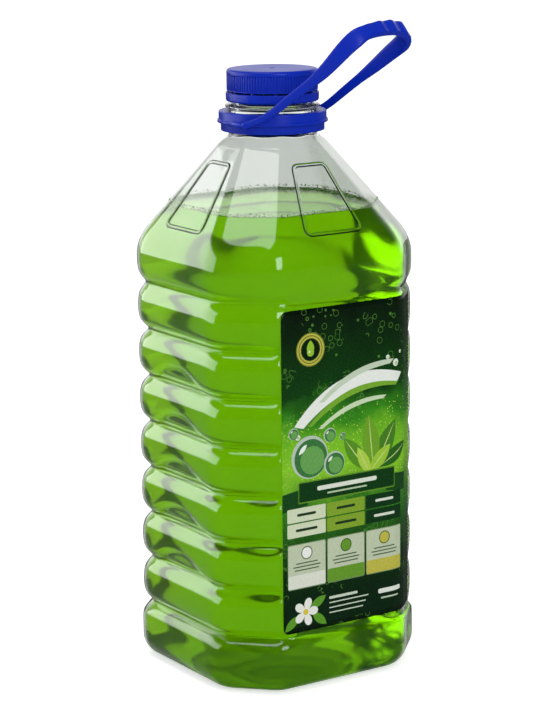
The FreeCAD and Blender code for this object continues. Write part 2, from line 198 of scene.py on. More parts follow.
def outward(piece: bpy.types.Object) -> bpy.types.Object:
    """Turn the faces of a closed mesh outwards and return the object."""
    work = bmesh.new()
    work.from_mesh(piece.data)
    bmesh.ops.recalc_face_normals(work, faces=work.faces)
    work.to_mesh(piece.data)
    work.free()
    return piece


def joined(name: str, pieces: list) -> bpy.types.Object:
    """Join mesh objects into one and return it under a new name."""
    points, faces, count = [], [], 0
    for piece in pieces:
        points.extend([vertex.co / MM for vertex in piece.data.vertices])
        faces.extend([tuple(corner + count for corner in face.vertices) for face in piece.data.polygons])
        count += len(piece.data.vertices)
        bpy.data.objects.remove(piece)
    return mesh_object(name, np.array(points), faces)


# Curves


def smooth(share: float) -> float:
    """Ease a share from 0 to 1 with level ends."""
    share = min(1.0, max(0.0, share))
    return share * share * (3 - 2 * share)


def natural_slopes(places: np.ndarray, knots: np.ndarray) -> np.ndarray:
    """Slopes at the knots of a natural cubic curve."""
    count = len(places)
    spans = np.diff(places)
    matrix = np.zeros((count, count))
    right = np.zeros((count, knots.shape[1]))
    matrix[0, 0], matrix[0, 1] = 2, 1
    right[0] = 3 * (knots[1] - knots[0]) / spans[0]
    matrix[-1, -1], matrix[-1, -2] = 2, 1
    right[-1] = 3 * (knots[-1] - knots[-2]) / spans[-1]
    for number in range(1, count - 1):
        before, after = spans[number - 1], spans[number]
        matrix[number, number - 1] = after
        matrix[number, number] = 2 * (before + after)
        matrix[number, number + 1] = before
        right[number] = 3 * (after * (knots[number] - knots[number - 1]) / before
                             + before * (knots[number + 1] - knots[number]) / after)
    return np.linalg.solve(matrix, right)


def hermite(places: np.ndarray, knots: np.ndarray, slopes: np.ndarray, wanted: np.ndarray) -> np.ndarray:
    """Points of the cubic curve through the knots at the wanted places."""
    number = np.clip(np.searchsorted(places, wanted) - 1, 0, len(places) - 2)
    span = (places[number + 1] - places[number])[:, None]
    t = ((wanted - places[number])[:, None]) / span
    low, high = knots[number], knots[number + 1]
    return ((2 * t ** 3 - 3 * t ** 2 + 1) * low + (t ** 3 - 2 * t ** 2 + t) * span * slopes[number]
            + (3 * t ** 2 - 2 * t ** 3) * high + (t ** 3 - t ** 2) * span * slopes[number + 1])


def screw_thread(name: str, root: float, height: float, low: float, rise: float) -> bpy.types.Object:
    """Build three starts of a screw thread about the neck's axis.

    Args:
        name: Name of the object.
        root: Radius on which the thread stands.
        height: How far it stands out, negative inwards.
        low: Height of its lowest turn.
        rise: Height that each start climbs.

    Returns:
        The new object.
    """
    steps, starts = 72, 3
    sweep = rise / 12.0 * TURN
    profile = ((0.0, -0.75), (0.75, -0.3), (1.0, 0.0), (0.75, 0.3), (0.0, 0.75))
    sink = math.copysign(0.1, height)
    pieces = []
    for start in range(starts):
        rings = []
        for step in range(steps + 1):
            share = step / steps
            taper = min(1.0, 8 * share, 8 * (1 - share)) + 0.02
            angle = TURN * start / starts + sweep * share
            ring = []
            for out, up in profile:
                radius = root + height * out * taper - sink * (out == 0.0)
                ring.append((radius * math.cos(angle), radius * math.sin(angle), low + rise * share + up * taper))
            rings.append(np.array(ring))
        pieces.append(outward(capped_rings(name, rings, tuple(rings[0].mean(0)), tuple(rings[-1].mean(0)))))
    return joined(name, pieces)


def closed_bead(name: str, line: np.ndarray, normal: np.ndarray, half: float, proud: float) -> bpy.types.Object:
    """Build a rounded bead along a closed line on a flat facet.

    Args:
        name: Name of the object.
        line: Points of the line, in order round the loop.
        normal: Direction out of the facet.
        half: Half width of the bead.
        proud: How far it stands out.

    Returns:
        The new object.
    """
    section = [(-1.0, -0.3), (1.0, -0.3), (1.0, 0.0), (0.8, 0.55), (0.45, 0.9), (0.0, 1.0),
               (-0.45, 0.9), (-0.8, 0.55), (-1.0, 0.0)]
    rings = []
    for number, here in enumerate(line):
        tangent = line[(number + 1) % len(line)] - line[number - 1]
        side = np.cross(normal, tangent / np.linalg.norm(tangent))
        rings.append(np.array([here + side * half * across + normal * proud * out for across, out in section]))
    faces = grid_faces(len(rings), len(section), closed_rings=True)
    return outward(mesh_object(name, np.vstack(rings), faces))


# Node helpers


class Nodes:
    """Short hand for building one node tree."""

    def __init__(self, tree: bpy.types.NodeTree) -> None:
        """Start on an empty tree."""
        self.tree = tree
        tree.nodes.clear()

    def add(self, kind: str, inputs: dict | None = None, **settings) -> bpy.types.Node:
        """Add a node, apply its settings and fill or link its inputs.

        Args:
            kind: Node type.
            inputs: Values or sockets by input name or number.
            settings: Attributes of the node.

        Returns:
            The new node.
        """
        node = self.tree.nodes.new(kind)
        for key, value in settings.items():
            setattr(node, key, value)
        for key, value in (inputs or {}).items():
            if isinstance(value, bpy.types.NodeSocket):
                self.tree.links.new(value, node.inputs[key])
            else:
                node.inputs[key].default_value = value
        return node

    def math(self, operation: str, first, second=0.0) -> bpy.types.NodeSocket:
        """Add a math node and return its result."""
        return self.add("ShaderNodeMath", {0: first, 1: second}, operation=operation).outputs[0]

    def mix(self, share, first, second) -> bpy.types.NodeSocket:
        """Blend two colours by a share and return the result."""
        node = self.add("ShaderNodeMix", data_type="RGBA")
        for key, value in ((0, share), (6, first), (7, second)):
            if isinstance(value, bpy.types.NodeSocket):
                self.tree.links.new(value, node.inputs[key])
            else:
                node.inputs[key].default_value = value
        return node.outputs[2]

    def ramp(self, factor, stops: list) -> bpy.types.NodeSocket:
        """Add a colour ramp with the given places and colours and return its colour."""
        node = self.add("ShaderNodeValToRGB", {0: factor})
        ramp = node.color_ramp
        while len(ramp.elements) < len(stops):
            ramp.elements.new(0.5)
        for element, (place, colour) in zip(ramp.elements, stops):
            element.position = place
            element.color = colour
        return node.outputs[0]


def new_material(name: str) -> tuple:
    """Make an empty node material and return it with its node helper."""
    material = bpy.data.materials.new(name)
    material.use_nodes = True
    return material, Nodes(material.node_tree)


def ring_of_copies(name: str, piece: bpy.types.Object, count: int, material: bpy.types.Material) -> bpy.types.Object:
    """Set copies of a piece round the neck's axis with a geometry node tree.

    Args:
        name: Name of the result.
        piece: Piece to copy, in its place at angle zero. It is removed.
        count: How many copies.
        material: Finish set on the copies.

    Returns:
        The copies as one plain mesh object.
    """
    tree = bpy.data.node_groups.new(name, "GeometryNodeTree")
    tree.interface.new_socket("Geometry", in_out="INPUT", socket_type="NodeSocketGeometry")
    count_socket = tree.interface.new_socket("Count", in_out="INPUT", socket_type="NodeSocketInt")
    tree.interface.new_socket("Geometry", in_out="OUTPUT", socket_type="NodeSocketGeometry")
    nodes = Nodes(tree)
    given = nodes.add("NodeGroupInput")
    line = nodes.add("GeometryNodeMeshLine", {"Count": given.outputs["Count"], "Offset": (0.0, 0.0, 0.0)})
    number = nodes.add("GeometryNodeInputIndex").outputs[0]
    share = nodes.math("DIVIDE", number, given.outputs["Count"])
    angle = nodes.math("MULTIPLY", share, TURN)
    turn = nodes.add("ShaderNodeCombineXYZ", {"Z": angle}).outputs[0]
    copies = nodes.add("GeometryNodeInstanceOnPoints", {
        "Points": line.outputs[0], "Instance": given.outputs["Geometry"], "Rotation": turn})
    real = nodes.add("GeometryNodeRealizeInstances", {0: copies.outputs[0]})
    dressed = nodes.add("GeometryNodeSetMaterial", {"Geometry": real.outputs[0], "Material": material})
    nodes.add("NodeGroupOutput", {"Geometry": dressed.outputs[0]})
    modifier = piece.modifiers.new(name, "NODES")
    modifier.node_group = tree
    modifier[count_socket.identifier] = count
    return frozen(name, piece)


def frozen(name: str, piece: bpy.types.Object) -> bpy.types.Object:
    """Turn a piece with live modifiers into a plain mesh object under a new name."""
    bpy.context.view_layer.update()
    seen = piece.evaluated_get(bpy.context.evaluated_depsgraph_get())
    mesh = bpy.data.meshes.new_from_object(seen)
    bpy.data.objects.remove(piece)
    mesh.name = name
    made = bpy.data.objects.new(name, mesh)
    bpy.context.scene.collection.objects.link(made)
    return made


def surface_grain_group() -> bpy.types.NodeTree:
    """Build the shared group that gives moulded plastic its fine unevenness.

    Returns:
        A group with a colour factor, a roughness and a height that vary over the surface.
    """
    tree = bpy.data.node_groups.new("moulded_grain", "ShaderNodeTree")
    for label, default in (("Scale", 300.0), ("Roughness", 0.3), ("Spread", 0.06), ("Mottle", 0.1)):
        tree.interface.new_socket(label, in_out="INPUT", socket_type="NodeSocketFloat").default_value = default
    for label in ("Factor", "Roughness", "Height"):
        tree.interface.new_socket(label, in_out="OUTPUT", socket_type="NodeSocketFloat")
    nodes = Nodes(tree)
    given = nodes.add("NodeGroupInput")
    place = nodes.add("ShaderNodeTexCoord").outputs["Object"]
    fine = nodes.add("ShaderNodeTexNoise", {"Vector": place, "Scale": given.outputs["Scale"], "Detail": 3.0})
    broad_scale = nodes.math("MULTIPLY", given.outputs["Scale"], 0.12)
    broad = nodes.add("ShaderNodeTexNoise", {"Vector": place, "Scale": broad_scale, "Detail": 2.0})
    centred = nodes.math("SUBTRACT", broad.outputs[0], 0.5)
    rough = nodes.math("MULTIPLY_ADD", centred, given.outputs["Spread"])
    rough.node.inputs[2].default_value = 0.0
    shifted = nodes.math("ADD", rough, given.outputs["Roughness"])
    factor = nodes.math("MULTIPLY", broad.outputs[0], given.outputs["Mottle"])
    nodes.add("NodeGroupOutput", {"Factor": factor, "Roughness": shifted, "Height": fine.outputs[0]})
    return tree


@dataclass(frozen=True)
class MouldedPlastic:
    """Coloured injection moulded plastic with a faint sheen and grain."""

    name: str
    light: tuple
    dark: tuple
    roughness: float = 0.3
    grain: float = 350.0
    bump: float = 0.02

    def build(self, grain_group: bpy.types.NodeTree) -> bpy.types.Material:
        """Build the material on the shared grain group and return it."""
        material, nodes = new_material(self.name)
        grain = nodes.add("ShaderNodeGroup", node_tree=grain_group)
        grain.inputs["Scale"].default_value = self.grain
        grain.inputs["Roughness"].default_value = self.roughness
        grain.inputs["Spread"].default_value = 0.12
        grain.inputs["Mottle"].default_value = 0.6
        colour = nodes.mix(grain.outputs["Factor"], self.light, self.dark)
        bump = nodes.add("ShaderNodeBump", {"Strength": self.bump, "Distance": 0.0004,
                                            "Height": grain.outputs["Height"]})
        shader = nodes.add("ShaderNodeBsdfPrincipled", {
            "Base Color": colour, "Roughness": grain.outputs["Roughness"], "IOR": 1.5,
            "Subsurface Weight": 0.0, "Normal": bump.outputs[0], "Specular IOR Level": 0.25})
        nodes.add("ShaderNodeOutputMaterial", {"Surface": shader.outputs[0]})
        return material


@dataclass(frozen=True)
class BlownClear:
    """Clear blown plastic: glossy, with faint waves left by the blowing."""

    name: str = "blown_clear_plastic"
    tint: tuple = (0.96, 0.99, 0.96, 1.0)

    def build(self) -> bpy.types.Material:
        """Build the material and return it."""
        material, nodes = new_material(self.name)
        place = nodes.add("ShaderNodeTexCoord").outputs["Object"]
        wave = nodes.add("ShaderNodeTexNoise", {"Vector": place, "Scale": 28.0, "Detail": 1.5})
        rough = nodes.math("MULTIPLY", wave.outputs[0], 0.06)
        bump = nodes.add("ShaderNodeBump", {"Strength": 0.12, "Distance": 0.002, "Height": wave.outputs[0]})
        shader = nodes.add("ShaderNodeBsdfPrincipled", {
            "Base Color": self.tint, "Roughness": rough, "IOR": 1.45, "Transmission Weight": 1.0,
            "Normal": bump.outputs[0]})
        nodes.add("ShaderNodeOutputMaterial", {"Surface": shader.outputs[0]})
        return material


@dataclass(frozen=True)
class GreenDetergent:
    """Clear bright green liquid that deepens with the depth looked through."""

    name: str = "green_detergent"
    tint: tuple = (0.52, 1.0, 0.0, 1.0)
    depth_colour: tuple = (0.78, 0.94, 0.0, 1.0)
    density: float = 15.0
    clearness: float = 0.82

    def build(self) -> bpy.types.Material:
        """Build the material and return it."""
        material, nodes = new_material(self.name)
        place = nodes.add("ShaderNodeTexCoord").outputs["Object"]
        cloud = nodes.add("ShaderNodeTexNoise", {"Vector": place, "Scale": 9.0, "Detail": 2.0})
        rough = nodes.math("MULTIPLY_ADD", cloud.outputs[0], 0.1)
        rough.node.inputs[2].default_value = 0.08
        shader = nodes.add("ShaderNodeBsdfPrincipled", {
            "Base Color": self.tint, "Roughness": rough, "IOR": 1.2, "Transmission Weight": self.clearness})
        depth = nodes.add("ShaderNodeVolumeAbsorption", {"Color": self.depth_colour, "Density": self.density})
        nodes.add("ShaderNodeOutputMaterial", {"Surface": shader.outputs[0], "Volume": depth.outputs[0]})
        return material


# The blown body


@dataclass
class BlownBody:
    """Square bottle with cut corners, ribs, a label panel and faceted shoulders."""

    half_width: float = 70.2
    corner_leg: float = 27.6
    corner_round: float = 21.0
    wall: float = 0.8
    foot_round: float = 13.0
    foot_swell: float = 0.8
    foot_drop: float = 2.6
    push_up: float = 7.0
    push_up_radius: float = 48.0
    shoulder_z: float = 255.0
    shoulder_blend: float = 9.0
    shoulder_top_z: float = 317.5
    root_round: float = 6.0
    groove_top_z: float = 229.4
    groove_pitch: float = 28.0
    groove_count: int = 8
    groove_depth: float = 4.0
    groove_spread: float = 4.0
    bulge: float = 2.6
    top_groove_depth: float = 3.0
    panel_recess: float = 0.7
    arch_half_width: float = 31.0
    arch_rise: float = 13.0
    arch_depth: float = 2.0
    neck_radius: float = 25.2
    neck_bore: float = 21.5
    finish_radius: float = 23.9
    ring_radius: float = 27.6
    ring_z: float = 332.0
    ring_height: float = 1.7
    neck_top_z: float = 351.6
    frame_low_z: float = 264.5
    frame_high_z: float = 303.0
    frame_low_width: float = 41.0
    frame_high_width: float = 24.0
    frame_bar: float = 2.6
    frame_proud: float = 0.35
    liquid_level: float = 276.0
    liquid_gap: float = 0.12
    flat_steps: int = 24
    cut_steps: int = 6
    corner_steps: int = 7

    def share(self, z: float) -> float:
        """How far the shoulder facets have run in towards the neck at a height."""
        length = self.shoulder_top_z - self.shoulder_z
        low, high = self.shoulder_z - self.shoulder_blend, self.shoulder_z + self.shoulder_blend
        if z <= low:
            return 0.0
        if z >= high:
            return (z - self.shoulder_z) / length
        return (z - low) ** 2 / (4 * self.shoulder_blend * length)

    def groove(self, z: float, panel: bool) -> float:
        """Depth of the ribbed wall, or of the label panel, below the rib crests.

        Args:
            z: Height.
            panel: Whether the side is part of the label panel.

        Returns:
            The inset in millimetres.
        """
        total = 0.0
        lowest = self.groove_top_z - (self.groove_count - 1) * self.groove_pitch
        for number in range(self.groove_count):
            if panel and number > 0:
                continue
            depth = self.top_groove_depth if number == 0 else self.groove_depth
            away = abs(z - (self.groove_top_z - number * self.groove_pitch))
            total += (depth - 0.35 * self.bulge) * math.exp(-((away / self.groove_spread) ** 1.9))
            if not panel and away < self.groove_pitch / 2:
                total += self.bulge * (1 - 2 * away / self.groove_pitch) ** 2 * min(1.0, (z - lowest) / 9 + 1)
        foot = 1 / (1 + math.exp((z - lowest + self.foot_drop) / 0.9))
        if panel:
            high = 1 / (1 + math.exp((self.groove_top_z - z) / 1.4))
            total += self.panel_recess * (1 - foot) * (1 - high)
        return total - self.foot_swell * foot

    def arch(self, across: float, z: float) -> float:
        """Depth of the finger arches on a flat side, across from its middle."""
        best = 0.0
        span = abs(across) / self.arch_half_width
        if span >= 1:
            return 0.0
        for number in range(2, 7):
            above = z - (self.groove_top_z - number * self.groove_pitch)
            height = self.arch_rise * (1 - span * span)
            if 0 <= above < height + 3:
                edge = 1 / (1 + math.exp((above - height) / 0.8))
                best = max(best, self.arch_depth * edge * min(1.0, 3 * (1 - span)))
        return best

    def section(self, z: float, inset: float) -> np.ndarray:
        """Points of the outline at one height.

        Args:
            z: Height.
            inset: Distance in from the outer surface.

        Returns:
            One row of x, y, z for each point, counter-clockwise from above.
        """
        share = self.share(z)
        root = self.neck_radius - inset
        half = (self.half_width - inset) * (1 - share) + root * share
        leg = (self.corner_leg - inset * (2 - math.sqrt(2))) * (1 - share) + root * (2 - math.sqrt(2)) * share
        rounding = (self.corner_round - inset) * (1 - share) + (self.root_round - inset) * share
        if z < self.foot_round:
            drop = self.foot_round - z
            foot = self.foot_round - math.sqrt(max(self.foot_round ** 2 - drop ** 2, 0.0))
            half -= foot
            leg -= foot * (2 - math.sqrt(2))
            rounding = max(rounding - foot, 2.0)
        cut = math.sqrt(2) * half - leg / math.sqrt(2)
        ribbed, panel = self.groove(z, False), self.groove(z, True)
        normals, reaches = [], []
        for side in range(8):
            angle = side * SIDE_TURN
            normals.append(np.array([math.cos(angle), math.sin(angle)]))
            reaches.append((half if side % 2 == 0 else cut) - (panel if side in (6, 7) else ribbed))
        bends = []
        for side in range(8):
            first, second = normals[side], normals[(side + 1) % 8]
            along = np.array([-first[1], first[0]])
            run = (reaches[(side + 1) % 8] - reaches[side] * float(first @ second)) / float(along @ second)
            corner = first * reaches[side] + along * run
            bisector = (first + second) / np.linalg.norm(first + second)
            centre = corner - bisector * rounding / math.cos(SIDE_TURN / 2)
            bends.append((centre, side * SIDE_TURN))
        points = []
        for side in range(8):
            centre, angle = bends[side]
            for step in range(self.corner_steps + 1):
                turn = angle + SIDE_TURN * step / self.corner_steps
                points.append(centre + rounding * np.array([math.cos(turn), math.sin(turn)]))
            after, after_angle = bends[(side + 1) % 8]
            start = points[-1]
            end = after + rounding * np.array([math.cos(after_angle), math.sin(after_angle)])
            steps = self.flat_steps if side % 2 else self.cut_steps
            normal = normals[(side + 1) % 8]
            along = np.array([-normal[1], normal[0]])
            for step in range(1, steps):
                point = start * (1 - step / steps) + end * step / steps
                if (side + 1) % 8 in (0, 4):
                    point = point - normal * self.arch(float(point @ along), z)
                points.append(point)
        flat = np.array(points)
        return np.c_[flat, np.full(len(flat), z)]

    def round_share(self, z: float) -> float:
        """How round the outline has become on its way into the neck."""
        start = self.shoulder_top_z - 7
        return min(1.0, max(0.0, (z - start) / (self.shoulder_top_z - start))) ** 2

    def circle_like(self, ring: np.ndarray, radius: float, z: float) -> np.ndarray:
        """Circle whose points lie at the angles of a ring's points."""
        angles = np.arctan2(ring[:, 1], ring[:, 0])
        return np.c_[radius * np.cos(angles), radius * np.sin(angles), np.full(len(ring), z)]

    def waterline(self, inset: float) -> np.ndarray:
        """Points of the wall's outline at the liquid's level."""
        return self.section(self.liquid_level, inset)

    def dish(self, ring: np.ndarray, inset: float) -> list:
        """Rings of the dished base, from its middle outwards."""
        radius = (self.push_up_radius ** 2 + self.push_up ** 2) / (2 * self.push_up) + inset
        middle = self.push_up - radius + inset
        rings = []
        for step in range(1, 9):
            reach = self.push_up_radius * step / 8
            rings.append(self.circle_like(ring, reach, middle + math.sqrt(radius ** 2 - reach ** 2)))
        return rings

    def heights(self, top: float) -> list:
        """Heights of the rings from the foot to a top height, closer where the wall bends."""
        places = [0.0, 0.25, 0.8, 1.7, 2.8, 4.2, 6.0, 8.0, 10.5, 13.0, 17.0, 21.5]
        lowest = self.groove_top_z - (self.groove_count - 1) * self.groove_pitch
        steps = np.array([-10, -8, -6.6, -5.6, -4.7, -3.9, -3.1, -2.3, -1.5, -0.7, 0,
                          0.7, 1.5, 2.3, 3.1, 3.9, 4.7, 5.6, 6.6, 8, 9.5, 11, 12.2, 13.4, 14.6])
        for number in range(self.groove_count):
            middle = lowest + number * self.groove_pitch
            places.extend(middle + steps)
        places.extend(np.linspace(self.shoulder_z - 12, self.shoulder_z + 10, 16))
        places.extend(np.linspace(self.shoulder_z + 12, self.shoulder_top_z - 8, 22))
        places.extend(np.linspace(self.shoulder_top_z - 7, self.shoulder_top_z, 8))
        tidy = []
        for place in sorted(set(np.round(places, 2))):
            if place <= top - 0.3 and (not tidy or place - tidy[-1] > 0.2):
                tidy.append(float(place))
        return tidy + [top]

    def wall_rings(self, inset: float, top: float) -> list:
        """Rings of the body's skin from the base to a height."""
        rings = []
        for z in self.heights(top):
            ring = self.section(z, inset)
            blend = self.round_share(z)
            ring = ring * (1 - blend) + self.circle_like(ring, self.neck_radius - inset, z) * blend
            ring[:, 2] = max(z, inset) if z > 1.0 else z + inset * (1 - z)
            rings.append(ring)
        return self.dish(rings[0], inset) + rings

    def shell(self) -> bpy.types.Object:
        """Build the clear wall, outside and inside, as one closed skin."""
        outer = self.wall_rings(0.0, self.shoulder_top_z)
        sample = outer[-1]
        ring_high = self.ring_z + self.ring_height
        bead = 342.0
        neck = [
            (self.neck_radius, self.shoulder_top_z + 1), (self.neck_radius, self.ring_z - 1.2),
            (self.neck_radius + 0.4, self.ring_z - 0.3), (self.ring_radius - 0.4, self.ring_z + 0.1),
            (self.ring_radius - 0.05, self.ring_z + 0.45), (self.ring_radius - 0.05, ring_high - 0.55),
            (self.ring_radius - 0.5, ring_high - 0.15), (self.finish_radius + 0.6, ring_high),
            (self.finish_radius, ring_high + 0.6), (self.finish_radius, bead - 0.9),
            (self.finish_radius + 0.8, bead - 0.3), (self.finish_radius + 0.8, bead + 0.2),
            (self.finish_radius, bead + 0.9), (self.finish_radius, self.neck_top_z - 0.8),
            (self.finish_radius - 0.5, self.neck_top_z - 0.1), (self.finish_radius - 0.9, self.neck_top_z),
            (self.neck_bore + 0.5, self.neck_top_z), (self.neck_bore + 0.05, self.neck_top_z - 0.5),
            (self.neck_bore, self.neck_top_z - 1.2), (self.neck_bore, 334.0), (self.neck_bore, 322.0),
            (self.neck_bore + 0.2, 319.0),
        ]
        rings = outer + [self.circle_like(sample, radius, z) for radius, z in neck]
        inner = self.wall_rings(self.wall, self.shoulder_top_z - 3.5)
        rings += inner[::-1]
        skin = capped_rings("blown_skin", rings, (0, 0, self.push_up), (0, 0, self.push_up + self.wall))
        extras = [self.frame_bead(math.pi), self.frame_bead(-math.pi / 2)]
        extras.append(screw_thread("neck_thread", self.finish_radius, 0.95, 344.2, 6.0))
        return joined("clear_bottle", [skin] + extras)

    def facet_point(self, side_angle: float, across: float, z: float) -> np.ndarray:
        """Point on a shoulder facet, given across from its middle and by height."""
        outward_x, outward_y = math.cos(side_angle), math.sin(side_angle)
        reach = self.half_width + (self.neck_radius - self.half_width) * self.share(z)
        return np.array([outward_x * reach - outward_y * across, outward_y * reach + outward_x * across, z])

    def frame_bead(self, side_angle: float) -> bpy.types.Object:
        """Build the raised trapezium bead on one shoulder facet."""
        low, high = self.frame_low_z + self.frame_bar / 2, self.frame_high_z - self.frame_bar / 2
        wide, narrow = (self.frame_low_width - self.frame_bar) / 2, (self.frame_high_width - self.frame_bar) / 2
        flat = rounded_profile([(-wide, low, 3.7), (wide, low, 3.7), (narrow, high, 3.7), (-narrow, high, 3.7)], 6)
        line = []
        for number, here in enumerate(flat):
            after = np.array(flat[(number + 1) % len(flat)])
            steps = max(1, int(np.linalg.norm(after - here) / 2.0))
            for step in range(steps):
                across, z = np.array(here) * (1 - step / steps) + after * step / steps
                line.append(self.facet_point(side_angle, across, z))
        run, rise = self.half_width - self.neck_radius, self.shoulder_top_z - self.shoulder_z
        normal = np.array([math.cos(side_angle) * rise, math.sin(side_angle) * rise, run])
        return closed_bead("frame_bead", np.array(line), normal / np.linalg.norm(normal), self.frame_bar / 2,
                           self.frame_proud)

    def liquid(self) -> bpy.types.Object:
        """Build the liquid with a slight rise where it wets the wall."""
        gap = self.wall + self.liquid_gap
        rings = self.wall_rings(gap, self.liquid_level)
        rim = self.section(self.liquid_level, gap)
        rim[:, 2] = self.liquid_level
        middle = np.array([0.0, 0.0, 0.0])
        for share, drop in ((0.985, 0.5), (0.96, 0.8), (0.9, 1.0), (0.6, 1.0), (0.3, 1.0)):
            ring = rim * share + middle
            ring[:, 2] = self.liquid_level - drop
            rings.append(ring)
        return capped_rings("green_liquid", rings, (0, 0, self.push_up + gap), (0, 0, self.liquid_level - 1.0))


@dataclass
class FoamLine:
    """Small bubbles that the filling left along the liquid's edge."""

    inset: float = 1.45
    reach: float = 4.2
    climb: float = 2.2
    small: float = 0.22
    large: float = 0.62
    per_square_metre: float = 520000.0
    seed: int = 7

    def bed(self, body: BlownBody) -> bpy.types.Object:
        """Build the strip along the wall on which the bubbles are scattered."""
        rim = body.waterline(self.inset)
        wall = rim + np.array([0.0, 0.0, self.climb])
        floor = rim * (1 - self.reach / body.half_width)
        floor[:, 2] = body.liquid_level - 0.5
        foot = rim - np.array([0.0, 0.0, 0.4])
        return mesh_object("foam_line", np.vstack([wall, foot, floor]), grid_faces(3, len(rim)))

    def build(self, body: BlownBody, material: bpy.types.Material) -> bpy.types.Object:
        """Scatter the bubbles over the strip with a geometry node tree.

        Args:
            body: The bottle that holds them.
            material: Their finish.

        Returns:
            The bubbles as one plain mesh object.
        """
        bed = self.bed(body)
        tree = bpy.data.node_groups.new("foam_line", "GeometryNodeTree")
        tree.interface.new_socket("Geometry", in_out="INPUT", socket_type="NodeSocketGeometry")
        sockets = {}
        for label, kind, value in (("Density", "Float", self.per_square_metre), ("Small", "Float", self.small * MM),
                                   ("Large", "Float", self.large * MM), ("Seed", "Int", self.seed)):
            made = tree.interface.new_socket(label, in_out="INPUT", socket_type="NodeSocket" + kind)
            sockets[made.identifier] = value
        tree.interface.new_socket("Geometry", in_out="OUTPUT", socket_type="NodeSocketGeometry")
        nodes = Nodes(tree)
        given = nodes.add("NodeGroupInput").outputs
        points = nodes.add("GeometryNodeDistributePointsOnFaces", {
            "Mesh": given["Geometry"], "Density": given["Density"], "Seed": given["Seed"]}).outputs["Points"]
        ball = nodes.add("GeometryNodeMeshIcoSphere", {"Radius": 1.0, "Subdivisions": 2}).outputs["Mesh"]
        size = nodes.add("FunctionNodeRandomValue", {
            "Min": given["Small"], "Max": given["Large"], "Seed": given["Seed"]}, data_type="FLOAT")
        links = [output for output in size.outputs if output.enabled]
        copies = nodes.add("GeometryNodeInstanceOnPoints", {"Points": points, "Instance": ball, "Scale": links[0]})
        real = nodes.add("GeometryNodeRealizeInstances", {0: copies.outputs[0]})
        smooth_balls = nodes.add("GeometryNodeSetShadeSmooth", {"Geometry": real.outputs[0]})
        dressed = nodes.add("GeometryNodeSetMaterial", {"Geometry": smooth_balls.outputs[0], "Material": material})
        nodes.add("NodeGroupOutput", {"Geometry": dressed.outputs[0]})
        modifier = bed.modifiers.new("foam_line", "NODES")
        modifier.node_group = tree
        for identifier, value in sockets.items():
            modifier[identifier] = value
        return frozen("foam_bubbles", bed)


@dataclass(frozen=True)
class BubbleFilm:
    """Thin wet film of the bubbles."""

    name: str = "bubble_film"
    tint: tuple = (0.62, 0.95, 0.36, 1.0)

    def build(self) -> bpy.types.Material:
        """Build the material and return it."""
        material, nodes = new_material(self.name)
        place = nodes.add("ShaderNodeTexCoord").outputs["Object"]
        cloud = nodes.add("ShaderNodeTexNoise", {"Vector": place, "Scale": 400.0})
        colour = nodes.mix(cloud.outputs[0], self.tint, (1.0, 1.0, 0.9, 1.0))
        shader = nodes.add("ShaderNodeBsdfPrincipled", {
            "Base Color": colour, "Roughness": 0.12, "IOR": 1.2, "Transmission Weight": 0.45})
        nodes.add("ShaderNodeOutputMaterial", {"Surface": shader.outputs[0]})
        return material


# The label, the cap and the strap


def paint(red: int, green: int, blue: int) -> tuple:
    """Turn a colour from 0 to 255 as it is seen into the linear colour that shaders use."""
    linear = []
    for value in (red, green, blue):
        share = value / 255
        linear.append(share / 12.92 if share <= 0.04045 else ((share + 0.055) / 1.055) ** 2.4)
    return (*linear, 1.0)


